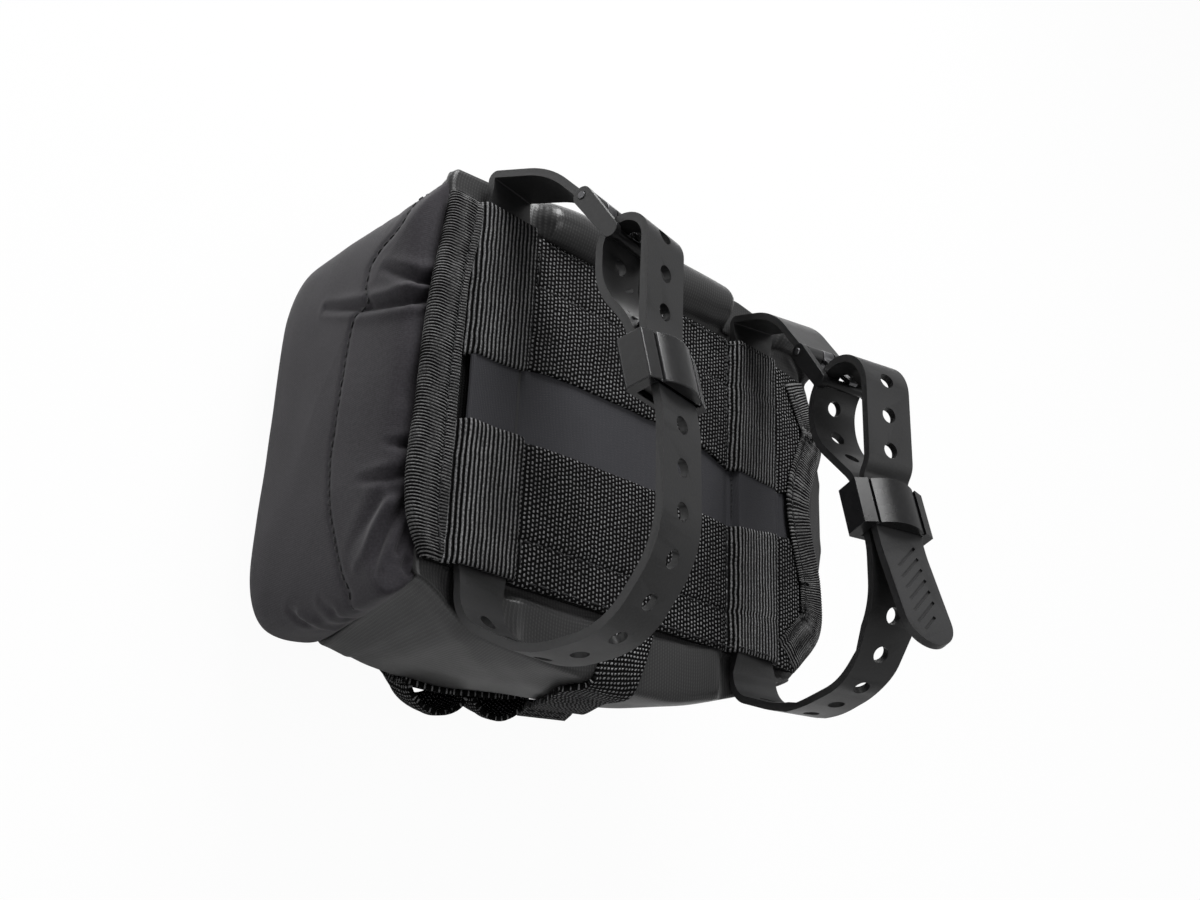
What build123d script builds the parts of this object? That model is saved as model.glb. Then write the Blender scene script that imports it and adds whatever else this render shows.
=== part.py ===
from build123d import *
from math import atan2, cos, degrees, hypot, radians, sin, sqrt, tan
import os

# A small strap-on saddle bag of coated fabric, lying on its outer wall with its mounting side up.
# Frame, in millimetres: the origin is the middle of the webbing mount panel, +X runs from the mouth to the
# closed end, +Y is across the bag, and +Z is the panel's outward normal, towards what the bag is strapped to.

os.makedirs("parts", exist_ok=True)

# ---- clearances -------------------------------------------------------------------------------------
seat_gap = 0.15          # between sewn pieces of one body
free_gap = 0.3           # between soft pieces that move apart
pin_gap = 0.05           # radial, a pin in its bore

# ---- bag body ---------------------------------------------------------------------------------------
fabric_wall = 1.5
body_length = 167.0      # along the mounting side
end_seam = 0.725         # share of the length where the closed end is sewn to the walls
body_half_width = 64.0   # at the fullest place
body_depth = 82.0        # mounting side to outer wall, at the mouth
mouth_offset = 5.5       # the mouth's mounting side lies this far behind the panel's front edge
mouth_setback = 23.0     # the mouth's outer side lies this much further back
outer_length = 134.0     # along the outer wall
end_sway = 5.0           # the filled end leans this far to +Y
shoulder_rise = 7.0      # the filled fabric stands this far above the panel seam
side_bulge = 2.5
seat_cut = 1.0           # the sewn panel flattens the filled fabric by this much

# ---- webbing mount panel ----------------------------------------------------------------------------
panel_length = 155.0
band_width = 38.0
band_gap = 19.0
band_thickness = 1.6
backing_thickness = 0.8
label_thickness = 0.6
binding_thickness = 0.9
binding_width = 9.0
stiffener_thickness = 1.2
stiffener_margin = 5.0
flap_length = 28.0       # free rear end of the panel
front_tunnel = 21.1      # from the panel's front edge to the front strap's middle
rear_tunnel_inset = 34.5 # from the panel's rear edge to the rear strap's middle

# ---- straps -----------------------------------------------------------------------------------------
strap_width = 14.4
strap_thickness = 2.0
strap_height = -0.45     # middle of the strap inside its tunnel
front_lean = 8.0         # degrees, the twist of each loop out of its tunnel
rear_lean = -15.2
hole_radius = 2.1
hole_pitch = 9.8
hole_sides = 8           # the moulded holes are drawn with this many flats
ridge_pitch = 2.3
ridge_height = 0.4
ridge_width = 0.9
ridge_slant = 32.0       # degrees off square
layer_pitch = 2.9        # between the two strap layers inside a keeper
tunnel_slack = 1.3       # tunnel beyond the strap's edge, at each side
tunnel_height = 0.85     # inside top of a tunnel, above the flat bands' outer side
ramp_run = 2.0
trough_depth = 0.3       # the straps press the filled fabric down by this much at their tunnel's ends

# ---- buckles and keepers ----------------------------------------------------------------------------
buckle_reach = 14.7      # hinge pin to cross bar
buckle_angle = -35.7     # degrees, from the fold's centre to the hinge pin
arm_thickness = 1.8
arm_radius = 2.5
bar_radius = 1.4
pin_radius = 1.0
eye_radius = 2.4
tongue_width = 2.6
tongue_thickness = 1.3
knuckle_width = 3.6
keeper_length = 13.0
keeper_width = 22.0
keeper_wall = 1.5
keeper_lobe = 1.9        # height of the arched middle above the wings
keeper_play = 0.4

# ---- side webbing and loops -------------------------------------------------------------------------
webbing_width = 14.0
webbing_thickness = 1.6
loop_count = 2
loop_length = 23.0
loop_height = 6.6
loop_chain_rise = 13.5   # middle of the loops above the outer wall
slant_start = 71.0       # the slanted webbing's ends, from the panel's front edge
slant_end = 109.0
loop_chain_start = 48.0  # from the panel's front edge

# ---- mouth cover ------------------------------------------------------------------------------------
cover_wall = 1.6
cover_puff = 10.0        # how far the cover stands out of the mouth at the mounting side
cover_belly = 28.0       # and at the outer side
cover_skirt = 5.0        # how far it folds over the rim
skirt_flare = 1.8
cover_ground = 4.6       # the cover's outer side stays this close to the mouth's, clear of the ground
elastic_thickness = 0.7
elastic_width = 3.0

front_x = -panel_length / 2
panel_half = band_gap / 2 + band_width
panel_base = -band_thickness - backing_thickness
seam_half = panel_half + 1.7
mouth_x = front_x + mouth_offset
rear_tunnel = panel_length - rear_tunnel_inset
loop_chain_z = loop_chain_rise - body_depth
half_strap = strap_width / 2
half_layer = strap_thickness / 2


def from_front(distance):
    """X of a place given from the panel's front edge."""
    return front_x + distance


# ---- bag body ---------------------------------------------------------------------------------------
# Each station: share of the length, share of the half width, share of the sway, drop of the mounting side,
# share of the shoulder rise, share of the depth, taper to the outer wall, corner radius over depth.
stations = [
    (0.000, 0.890, 0.0, 0.0, 0.50, 0.930, 0.965, 0.22),
    (0.110, 0.928, 0.0, 0.0, 0.65, 0.962, 0.950, 0.25),
    (0.235, 0.970, 0.0, 0.0, 0.85, 1.006, 0.920, 0.29),
    (0.475, 1.000, 0.2, 0.0, 1.00, 1.002, 0.875, 0.32),
    (0.580, 0.985, 0.5, 0.0, 1.00, 0.952, 0.850, 0.34),
    (0.675, 0.953, 0.8, 0.0, 1.00, 0.880, 0.820, 0.36),
    (0.760, 0.907, 1.0, 1.2, 0.80, 0.780, 0.780, 0.36),
    (0.840, 0.845, 1.0, 3.6, 0.45, 0.660, 0.740, 0.36),
    (0.900, 0.755, 1.0, 4.9, 0.42, 0.557, 0.685, 0.33),
    (0.955, 0.630, 1.0, 6.4, 0.38, 0.450, 0.630, 0.28),
    (1.000, 0.375, 0.8, 11.0, 0.25, 0.350, 0.600, 0.22),
]


mouth_tilt = atan2(mouth_setback, body_depth * stations[0][5])


def body_section(station, grow=0.0, shift=0.0):
    """The body's closed cross-section at a station, grown outward and shifted along X."""
    share, width, sway, drop, rise, depth, taper, corner = station
    mount_x = mouth_x + share * body_length + shift
    outer_x = mouth_x + mouth_setback + share * outer_length + shift
    low = body_depth * depth
    tilt = atan2(outer_x - mount_x, low)
    top = panel_base + seat_cut - drop
    crown = top + (shoulder_rise - seat_cut) * rise + grow
    top = top + grow
    floor = -low - grow
    radius = low * corner + grow
    edges = []
    ends = []
    for side in (1, -1):
        lean = end_sway * sway * side
        wide = body_half_width * width + lean
        seam = min(seam_half, 0.87 * (body_half_width * width - end_sway * sway))
        outer = wide * taper + grow
        wide = wide + grow
        shoulder = (wide - seam) / 2
        hip = crown - shoulder
        bend = floor + radius
        mid = (wide + outer) / 2 + side_bulge
        points = [
            (seam, top), (seam + shoulder, crown), (wide, hip), (mid, (hip + bend) / 2), (outer, bend),
            (outer - radius * (1 - cos(radians(45))), bend - radius * sin(radians(45))),
            (outer - radius, floor),
        ]
        places = [(side * y, z / cos(tilt)) for y, z in points]
        edges.append(ThreePointArc(*places[0:3]))
        edges.append(ThreePointArc(*places[2:5]))
        edges.append(ThreePointArc(*places[4:7]))
        ends.append((places[0], places[6]))
    edges.append(Line(ends[0][0], ends[1][0]))
    edges.append(Line(ends[0][1], ends[1][1]))
    plane = Plane(origin=(mount_x, 0, 0), x_dir=(0, 1, 0), z_dir=(cos(tilt), 0, sin(tilt)))
    return plane * make_face(edges)


def body_volume(grow=0.0, front_shift=0.0, end_shift=0.0):
    """The filled body, its wall faces moved outward by grow and its two ends along X."""
    sections = []
    for station in stations:
        shift = end_shift * station[0] + front_shift * (station[0] == 0)
        sections.append(body_section(station, grow, shift))
    return loft(sections, ruled=True)


def slab(x0, x1, y0, y1, z0, z1):
    """A box between two corners."""
    middle = ((x0 + x1) / 2, (y0 + y1) / 2, (z0 + z1) / 2)
    return Pos(*middle) * Box(x1 - x0, y1 - y0, z1 - z0)


far = 300.0
body_outer = body_volume()


def panel_seat(clear):
    """Space over the shell that the panel, its free rear flap and the straps' ends take, grown by clear."""
    half = panel_half + 1.0 + clear
    end = from_front(panel_length) + fabric_wall
    flap = from_front(panel_length - flap_length) - clear
    low = panel_base - clear
    space = slab(-far, end, -half, half, low, far)
    space = space + slab(flap, end, -half, half, low - binding_thickness - seat_gap, far)
    for middle, lean in ((front_tunnel, front_lean), (rear_tunnel, rear_lean)):
        reach = half_strap + 1.2 + clear
        floor = strap_height - half_layer - half_strap * sin(radians(abs(lean))) - trough_depth - clear
        x = from_front(middle)
        for y0, y1 in ((-far, clear - panel_half), (panel_half - clear, far)):
            start = -far if middle == front_tunnel else x - reach
            space = space + slab(start, x + reach, y0, y1, floor, far)
    return space


def body_fabric():
    """Coated fabric body, open at the mouth, with a flat resting face on its outer wall."""
    hollow = body_volume(-fabric_wall, -2 * fabric_wall, -fabric_wall)
    hollow = hollow & slab(-far, far, -far, far, -body_depth + fabric_wall, far)
    hollow = hollow - panel_seat(fabric_wall)
    solid = body_outer & slab(-far, far, -far, far, -body_depth, far)
    return solid - panel_seat(0) - hollow


def body_part(fabric, end):
    """The four walls from the mouth to the end seam, or the closed end behind it."""
    seam_x = mouth_x + end_seam * body_length
    if end:
        return fabric & slab(seam_x, far, -far, far, -far, far)
    return fabric & slab(-far, seam_x, -far, far, -far, far)


def stiffener():
    """Plastic sheet inside the mounting side, which keeps the panel flat against the saddle rails."""
    top = panel_base - fabric_wall - seat_gap
    back = min(from_front(rear_tunnel), mouth_x + (end_seam - 0.02) * body_length - stiffener_margin)
    return slab(
        mouth_x + 2 * stiffener_margin, back,
        -panel_half + stiffener_margin, panel_half - stiffener_margin, top - stiffener_thickness, top,
    )


# ---- mount panel ------------------------------------------------------------------------------------
front_edge = [(3.2, 1.0), (0.2, 0.37), (-1.1, -0.25), (-0.9, -0.75), (4.6, -1.0)]
rear_edge = [(-7.5, 1.0), (0.6, 0.6), (-8.0, 0.1), (-1.0, -0.4), (-2.0, -0.72), (-15.0, -1.0)]


def edge_curve(base, shape, shift):
    """An edge of the panel across the bag; each place is an offset along X and a share of the half width."""
    return Spline(*[(base + x + shift, share * panel_half) for x, share in shape])


def panel_plan(inset):
    """The panel's outline between its two shaped edges, pulled in by inset at both."""
    front = edge_curve(front_x, front_edge, inset)
    rear = edge_curve(front_x + panel_length, rear_edge, -inset)
    sides = [Line(front @ 0, rear @ 0), Line(front @ 1, rear @ 1)]
    return make_face([front, rear] + sides)


def backing():
    """Fabric backing that carries the bands; its rear end is a free flap."""
    sheet = Pos(0, 0, panel_base) * extrude(panel_plan(binding_thickness + seat_gap), backing_thickness)
    return sheet


def raised_profile(thickness):
    """Side view of a tape that lies along the panel and rises over the two strap tunnels."""
    low = -band_thickness
    path = [(front_x - 10, low)]
    for middle in (front_tunnel, rear_tunnel):
        reach = half_strap + tunnel_slack
        centre = from_front(middle)
        path += [(centre - reach - ramp_run, low), (centre - reach, tunnel_height)]
        path += [(centre + reach, tunnel_height), (centre + reach + ramp_run, low)]
    path.append((front_x + panel_length + 10, low))
    upper = [(x, z + thickness) for x, z in reversed(path)]
    return make_face(Polyline(*path, *upper, close=True))


def raised_tape(thickness, y0, y1):
    """A tape from y0 to y1 with the raised profile."""
    plane = Plane(origin=(0, y1, 0), x_dir=(1, 0, 0), z_dir=(0, -1, 0))
    return extrude(plane * raised_profile(thickness), y1 - y0)


def band(side):
    """Webbing band along the bag, raised over the two strap tunnels; side is +1 or -1."""
    inner = side * band_gap / 2
    outer = side * panel_half
    strip = raised_tape(band_thickness, min(inner, outer), max(inner, outer))
    return strip & Pos(0, 0, -far / 2) * extrude(panel_plan(binding_thickness + seat_gap), far)


def label_tape():
    """Smooth bare tape between the two bands, also over the strap tunnels."""
    half = band_gap / 2 - seat_gap
    tape = raised_tape(label_thickness, -half, half)
    return tape & slab(from_front(binding_width / 2), from_front(panel_length - 2.0 * binding_width), -far, far, -far, far)


def binding(front):
    """Ribbed tape folded over an edge of the panel, with a slot that holds the panel's layers."""
    lowest = panel_base - binding_thickness - seat_gap
    height = -lowest + seat_gap + binding_thickness
    if front:
        outer = edge_curve(front_x, front_edge, 0)
        inner_x = front_x + binding_width + 0.5
        inner = Line((inner_x, panel_half), (inner_x, -panel_half))
        slot = edge_curve(front_x, front_edge, binding_thickness)
    else:
        outer = edge_curve(front_x + panel_length, rear_edge, 0)
        inner = edge_curve(front_x + panel_length, rear_edge, -binding_width)
        slot = edge_curve(front_x + panel_length, rear_edge, -binding_thickness)
    tape = make_face([outer, inner, Line(outer @ 0, inner @ 0), Line(outer @ 1, inner @ 1)])
    reach = slab(-far, far, -panel_half, panel_half, lowest, lowest + height)
    body = extrude(Pos(0, 0, lowest) * tape, height) & reach
    away = far if front else -far
    ends = [Line(slot @ 0, (slot @ 0) + Vector(away, 0)), Line(slot @ 1, (slot @ 1) + Vector(away, 0))]
    wide = make_face([slot] + ends + [Line(ends[0] @ 1, ends[1] @ 1)])
    layers = extrude(Pos(0, 0, panel_base - seat_gap) * wide, seat_gap * 2 - panel_base)
    body = body - layers
    if front:
        body = body - slab(mouth_x - seat_gap, far, -far, far, -far, panel_base)
    return body


# ---- straps -----------------------------------------------------------------------------------------
class Loop:
    """One strap's route in its own leaned plane: u runs across the bag and v away from the panel."""

    def __init__(self, tunnel, lean, fold_centre, fold_radius, route, tail, arch, grip, grip_start):
        self.middle = Vector(from_front(tunnel), 0, strap_height)
        self.across = Vector(cos(radians(lean)), 0, -sin(radians(lean)))
        self.away = Vector(sin(radians(lean)), 0, cos(radians(lean)))
        self.plane = Plane(origin=self.middle, x_dir=(0, 1, 0), z_dir=self.across)
        turn = radians(buckle_angle)
        self.aim = (cos(turn), sin(turn))
        bar_reach = fold_radius - half_layer - bar_radius - seat_gap
        self.fold = fold_centre
        self.fold_radius = fold_radius
        self.bar = self.toward(bar_reach)
        self.pin = self.toward(bar_reach + buckle_reach)
        self.route = route
        self.tail = tail
        self.arch = arch + [self.pin]
        self.grip = grip
        self.grip_start = grip_start

    def toward(self, distance):
        """A place on the line from the fold's centre to the hinge pin."""
        return (self.fold[0] + distance * self.aim[0], self.fold[1] + distance * self.aim[1])

    def place(self, u, v):
        """A loop-plane place in the part's frame."""
        return self.middle + Vector(0, u, 0) + self.away * v

    def grip_direction(self):
        """Unit direction of the two strap layers inside the keeper, towards the lower loop."""
        (u0, v0), (u1, v1) = self.grip
        run = hypot(u1 - u0, v1 - v0)
        return ((u1 - u0) / run, (v1 - v0) / run)


def corner_radius(before, corner, after):
    """The largest soft radius that two runs leave at a corner."""
    run_in = (corner[0] - before[0], corner[1] - before[1])
    run_out = (after[0] - corner[0], after[1] - corner[1])
    cross = run_in[0] * run_out[1] - run_in[1] * run_out[0]
    turn = abs(atan2(cross, run_in[0] * run_out[0] + run_in[1] * run_out[1]))
    shorter = min(hypot(*run_in), hypot(*run_out))
    return 0.4 * shorter / tan(turn / 2)


def rail(points, radii, offset):
    """The route moved sideways by offset, with its corners still concentric."""
    moved = []
    turned = []
    for i, (u, v) in enumerate(points):
        before = points[i - 1] if i else None
        after = points[i + 1] if i + 1 < len(points) else None
        sides = []
        for start, end in ((before, (u, v)), ((u, v), after)):
            if start and end:
                run = hypot(end[0] - start[0], end[1] - start[1])
                sides.append(((end[0] - start[0]) / run, (end[1] - start[1]) / run))
        normal_in = (-sides[0][1], sides[0][0])
        normal_out = (-sides[-1][1], sides[-1][0])
        share = 1 + normal_in[0] * normal_out[0] + normal_in[1] * normal_out[1]
        bend = sides[0][0] * sides[-1][1] - sides[0][1] * sides[-1][0]
        moved.append((
            u + offset * (normal_in[0] + normal_out[0]) / share,
            v + offset * (normal_in[1] + normal_out[1]) / share,
        ))
        if before and after:
            turned.append(radii[i - 1] - (offset if bend > 0 else -offset))
    return FilletPolyline(*moved, radius=turned)


def ribbon(loop, points, radii):
    """A strap's length along a route, as a solid as wide as the strap."""
    left = rail(points, radii, half_layer)
    right = rail(points, radii, -half_layer)
    face = make_face(left.edges() + right.edges() + [Line(left @ 0, right @ 0), Line(left @ 1, right @ 1)])
    return extrude(loop.plane * face, half_strap, both=True)


def soft_radii(points, fixed):
    """Radii for each corner of a route; fixed holds the ones that a form decides, by corner number."""
    radii = []
    for i in range(1, len(points) - 1):
        radii.append(fixed.get(i, corner_radius(points[i - 1], points[i], points[i + 1])))
    return radii


twist_start = panel_half - 1.0
twist_end = panel_half + 5.0


def twisted(loop, side):
    """The strap's turn from flat in its tunnel to the plane of its loop."""
    ends = []
    for reach, across in ((twist_start, Vector(1, 0, 0)), (twist_end, loop.across)):
        plane = Plane(origin=loop.middle + Vector(0, side * reach, 0), x_dir=across, z_dir=(0, side, 0))
        ends.append(plane * Rectangle(strap_width, strap_thickness))
    return loft(ends, ruled=True)


def tongue_line(loop):
    """Unit direction of the tongue from the hinge pin, passing just outside the cross bar."""
    clear = bar_radius + tongue_thickness / 2 + seat_gap
    swing = atan2(clear, buckle_reach)
    heading = radians(buckle_angle + 180) - swing
    return (cos(heading), sin(heading))


def fold_hole_distance(loop):
    """Distance round the fold, from where the tongue's side starts, to the hole that the tongue enters."""
    du, dv = tongue_line(loop)
    ru = loop.pin[0] - loop.fold[0]
    rv = loop.pin[1] - loop.fold[1]
    half = ru * du + rv * dv
    travel = -half - sqrt(half * half - (ru * ru + rv * rv - loop.fold_radius ** 2))
    return atan2(rv + travel * dv, ru + travel * du)


def strap(loop, fixed, tip_round, ridges):
    """Perforated strap: flat in its tunnel, up round its loop, through the buckle and back into the keeper."""
    start = (-twist_end, 0)
    points = [start] + loop.route + loop.tail
    radii = soft_radii(points, fixed)
    body = slab(
        loop.middle.X - half_strap, loop.middle.X + half_strap, -twist_start, twist_start,
        strap_height - half_layer, strap_height + half_layer,
    )
    body = body + twisted(loop, 1) + twisted(loop, -1)
    body = body + ribbon(loop, points, radii)
    arch = [(twist_end, 0)] + loop.arch
    body = body + ribbon(loop, arch, soft_radii(arch, {}))
    pin_place = loop.plane * Pos(*loop.pin, 0)
    body = body + pin_place * Cylinder(eye_radius, strap_width)
    body = body - pin_place * Cylinder(pin_radius + pin_gap, strap_width)
    body = body - pin_place * Cylinder(eye_radius + 1.0, knuckle_width + 2 * free_gap)
    middle = FilletPolyline(*points, radius=radii)
    body = body - strap_holes(loop, middle)
    if tip_round:
        body = body - tip_cutter(loop, middle)
    return body + strap_ridges(loop, middle, ridges)


def strap_holes(loop, middle):
    """The row of holes, in step with the one that the tongue enters."""
    angle = fold_hole_distance(loop)
    target = Vector(
        loop.fold[0] + loop.fold_radius * cos(angle), loop.fold[1] + loop.fold_radius * sin(angle), 0
    )
    length = middle.length
    phase = middle.param_at_point(middle.closest_points(Vertex(*target))[0]) * length
    first = -int((phase - hole_margin) / hole_pitch)
    last = int((length - plain_tail - phase) / hole_pitch)
    cutters = []
    for step in range(first, last + 1):
        share = (phase + step * hole_pitch) / length
        here = middle.position_at(share)
        along = middle.tangent_at(share)
        normal = Vector(-along.Y, along.X)
        spot = loop.plane * Plane(origin=here, z_dir=normal)
        outline = RegularPolygon(hole_radius, hole_sides, rotation=180 / hole_sides)
        cutters.append(extrude(spot * outline, 1.5 * strap_thickness, both=True))
    return cutters


hole_margin = 6.0        # first hole past the tunnel
plain_tail = 30.0        # the ridged end of the strap has no holes


def strap_ridges(loop, middle, ridges):
    """Slanted grip ridges near the tip; ridges gives their count, the first one's distance and the side."""
    count, first, side = ridges
    bars = []
    for step in range(count):
        share = 1 - (first + step * ridge_pitch) / middle.length
        here = middle.position_at(share)
        along = middle.tangent_at(share)
        normal = Vector(-along.Y, along.X) * side
        spot = loop.plane * Plane(origin=here + normal * half_layer, x_dir=along, z_dir=normal)
        bar = Box(ridge_width, strap_width - 3.0, 2 * ridge_height)
        bars.append(spot * Rot(0, 0, ridge_slant) * bar)
    return bars


def tip_cutter(loop, middle):
    """The two corners that a round end takes off the strap's tip."""
    end = middle @ 1
    along = middle % 1
    normal = Vector(-along.Y, along.X)
    corners = Pos(-half_strap / 2, 0) * Rectangle(half_strap, 1.2 * strap_width) - Pos(-half_strap, 0) * Circle(half_strap)
    face = loop.plane * Plane(origin=end, x_dir=along, z_dir=normal) * corners
    return extrude(face, strap_thickness, both=True)


# ---- buckles and keepers ----------------------------------------------------------------------------
def buckle_frame(loop):
    """Moulded frame: two side arms, the cross bar, and bores for the hinge pin."""
    inner = half_strap + free_gap
    run = Line(loop.pin, loop.bar)
    normal = Vector(-(run % 0).Y, (run % 0).X)
    head = Pos(*loop.pin) * Circle(arm_radius)
    nose = Pos(*loop.bar) * Circle(arm_radius * 0.85)
    sides = [
        Line(run @ 0 + normal * arm_radius, run @ 1 + normal * arm_radius * 0.85),
        Line(run @ 0 - normal * arm_radius, run @ 1 - normal * arm_radius * 0.85),
    ]
    web = make_face(sides + [Line(sides[0] @ 0, sides[1] @ 0), Line(sides[0] @ 1, sides[1] @ 1)])
    arm = extrude(head + nose + web, arm_thickness)
    frame = loop.plane * (Pos(0, 0, inner) * arm)
    frame = frame + loop.plane * (Pos(0, 0, -inner - arm_thickness) * arm)
    frame = frame + loop.plane * (Pos(*loop.bar, 0) * Cylinder(bar_radius, 2 * inner + arm_thickness))
    return frame - loop.plane * (Pos(*loop.pin, 0) * Cylinder(pin_radius + pin_gap, far / 6))


def buckle_pin(loop):
    """Metal hinge pin through the frame, the strap's eye and the tongue."""
    length = 2 * (half_strap + free_gap + arm_thickness) + 0.6
    return loop.plane * (Pos(*loop.pin, 0) * Cylinder(pin_radius, length))


def buckle_tongue(loop):
    """Metal tongue on the hinge pin, through the strap's hole and over the cross bar."""
    du, dv = tongue_line(loop)
    reach = buckle_reach + bar_radius + 0.4
    heading = degrees(atan2(dv, du))
    blade = Pos(reach / 2, 0, 0) * Box(reach, tongue_thickness, tongue_width)
    tip = Pos(reach, 0, 0) * Cylinder(tongue_thickness / 2, tongue_width)
    knuckle = Cylinder(eye_radius, knuckle_width)
    bore = Cylinder(pin_radius + pin_gap, knuckle_width)
    local = Rot(0, 0, heading) * (blade + tip) + knuckle - bore
    return loop.plane * (Pos(*loop.pin, 0) * local)


def keeper_plane(loop):
    """Plane across the two strap layers at the keeper's lower end, x across the strap and y outward."""
    du, dv = loop.grip_direction()
    (u0, v0), _ = loop.grip
    start_u = u0 + du * loop.grip_start
    start_v = v0 + dv * loop.grip_start
    along = Vector(0, du, 0) + loop.away * dv
    return Plane(origin=loop.place(start_u, start_v), x_dir=loop.across, z_dir=along)


def keeper(loop):
    """Moulded rubber keeper: a sleeve round both layers, with an arched middle between two wings."""
    plane = keeper_plane(loop)
    flip = 1 if plane.y_dir.dot(loop.away) > 0 else -1
    room = layer_pitch / 2 + half_layer + keeper_play
    wing = keeper_width / 2
    base = -room - keeper_wall
    ledge = room + keeper_wall * 0.8
    lobe = half_strap - 0.4
    groove = 0.9
    crown = ledge + keeper_lobe
    points = [
        (-wing, base + 0.8), (-wing, ledge - 1.2), (-lobe - groove, ledge), (-lobe - groove, ledge - groove),
        (-lobe, ledge - groove), (-lobe, ledge),
    ]
    mirror_points = [(-x, y) for x, y in reversed(points)]
    foot = [(wing - 0.8, base), (-wing + 0.8, base)]
    left = Polyline(*[(x, flip * y) for x, y in points])
    arch = ThreePointArc((-lobe, flip * ledge), (0, flip * crown), (lobe, flip * ledge))
    right = Polyline(*[(x, flip * y) for x, y in mirror_points + foot + points[:1]])
    outer = make_face(left.edges() + arch.edges() + right.edges())
    inside = Rectangle(strap_width + 2 * keeper_play, 2 * room)
    sleeve = plane * (outer - inside)
    return extrude(sleeve, keeper_length)


front_loop = Loop(
    tunnel=front_tunnel, lean=front_lean, fold_centre=(23.0, 42.3), fold_radius=6.4,
    route=[(-60.0, 0), (-70.0, 21.0), (-67.5, 41.5), (-50.0, 54.6), (-22.0, 54.0), (0, 48.7), (29.4, 48.7)],
    tail=[(29.4, 35.9), (13.0, 35.9), (1.0, 45.5), (-15.0, 49.3)],
    arch=[(57.0, 0), (51.0, 19.0)],
    grip=[(0.35, 47.25), (-21.65, 52.55)], grip_start=4.0,
)
rear_loop = Loop(
    tunnel=rear_tunnel, lean=rear_lean, fold_centre=(12.5, 47.6), fold_radius=10.8,
    route=[(-59.0, 0), (-66.5, 24.0), (-63.0, 47.0), (-46.0, 58.0), (-31.0, 57.9), (-12.0, 52.8), (4.5, 36.8), (23.3, 36.8)],
    tail=[(23.3, 58.4), (-8.5, 58.4), (-12.0, 55.9), (-33.0, 61.5), (-58.0, 71.0)],
    arch=[(57.0, 0), (50.0, 20.0)],
    grip=[(-12.0, 54.3), (-31.0, 59.4)], grip_start=3.0,
)
front_fixed = {1: 11.5, 5: 40.0, 6: 40.0, 7: 6.38, 8: 6.38}
rear_fixed = {1: 8.6, 5: 22.0, 6: 12.0, 8: 10.78, 9: 10.78, 12: 60.0}


# ---- webbing on the side wall -----------------------------------------------------------------------
def wrapped(region, gap):
    """A webbing layer that follows the body's outside over a region, gap clear of it."""
    layer = body_volume(gap + webbing_thickness) - body_volume(gap)
    return layer & region


def side_webbing():
    """Webbing that slants down the -Y side from the panel's edge to the outer edge."""
    start = (from_front(slant_start), 4.0)
    end = (from_front(slant_end), loop_chain_z - webbing_width / 2 - 1.0)
    run = hypot(end[0] - start[0], end[1] - start[1])
    angle = degrees(atan2(end[1] - start[1], end[0] - start[0]))
    middle = ((start[0] + end[0]) / 2, 0, (start[1] + end[1]) / 2)
    strip = Pos(*middle) * Rot(0, -angle, 0) * Box(run, far, webbing_width)
    side = slab(-far, far, -far, -seam_half - free_gap, -far, far)
    return wrapped(strip & side, free_gap)


def loop_strip():
    """Straight webbing along the side wall that carries the loops."""
    half = webbing_width / 2
    x0 = from_front(loop_chain_start)
    x1 = x0 + loop_count * loop_length
    region = slab(x0, x1, -far, -seam_half, loop_chain_z - half, loop_chain_z + half)
    return wrapped(region, free_gap)


def loop_arches():
    """Webbing arches standing off the strip, each open along the bag's height."""
    half = webbing_width / 2
    base = body_volume(free_gap + webbing_thickness + seat_gap)
    arches = []
    for i in range(loop_count):
        x0 = from_front(loop_chain_start) + i * loop_length + 1.0
        x1 = x0 + loop_length - 2.0
        middle = (x0 + x1) / 2
        reach = section_reach(middle, loop_chain_z)
        outer = ThreePointArc((x0, reach + 3), (middle, reach - loop_height), (x1, reach + 3))
        inner = ThreePointArc(
            (x0 + webbing_thickness, reach + 3), (middle, reach - loop_height + webbing_thickness),
            (x1 - webbing_thickness, reach + 3),
        )
        ring = make_face([outer, inner, Line(outer @ 0, inner @ 0), Line(outer @ 1, inner @ 1)])
        arches.append(extrude(Pos(0, 0, loop_chain_z - half) * ring, webbing_width) - base)
    return Compound(arches)


def section_reach(x, z):
    """Y of the body's -Y side at a place along it."""
    probe = slab(x - 0.5, x + 0.5, -far, 0, z - 0.5, z + 0.5) & body_outer
    return probe.bounding_box().min.Y


# ---- mouth cover ------------------------------------------------------------------------------------
mouth_normal = Vector(-cos(mouth_tilt), 0, -sin(mouth_tilt))
mouth_half = body_half_width * stations[0][1]
mouth_depth = body_depth * stations[0][5]
mouth_corner = mouth_depth * stations[0][7]


def cover_section(out_top, out_low, grow, top_grow):
    """The cover's outline in a plane that stands out of the mouth by the two given distances along X."""
    half = mouth_half + grow
    top = panel_base - binding_thickness - free_gap + top_grow
    floor = -mouth_depth - min(grow, cover_ground)
    radius = max(mouth_corner + grow, 4.0)
    up = 10.0
    tilt = atan2(mouth_setback + out_top - out_low, mouth_depth)
    slope = 1 / cos(tilt)
    side = side_bulge * 0.5
    edges = []
    for sign in (1, -1):
        knee = -radius * (1 - cos(radians(45)))
        mid = ((top - up) + (floor + radius)) / 2
        places = [
            (half - up, top), (half - up + up * sin(radians(45)), top - up + up * cos(radians(45))),
            (half, top - up), (half + side, mid), (half, floor + radius),
            (half + knee, floor + radius - radius * sin(radians(45))), (half - radius, floor),
        ]
        places = [(sign * y, z * slope) for y, z in places]
        edges += [ThreePointArc(*places[0:3]), ThreePointArc(*places[2:5]), ThreePointArc(*places[4:7])]
    edges.append(Line((half - up, top * slope), (-half + up, top * slope)))
    edges.append(Line((half - radius, floor * slope), (-half + radius, floor * slope)))
    plane = Plane(origin=(mouth_x - out_top, 0, 0), x_dir=(0, 1, 0), z_dir=(cos(tilt), 0, sin(tilt)))
    return plane * make_face(edges)


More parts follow.
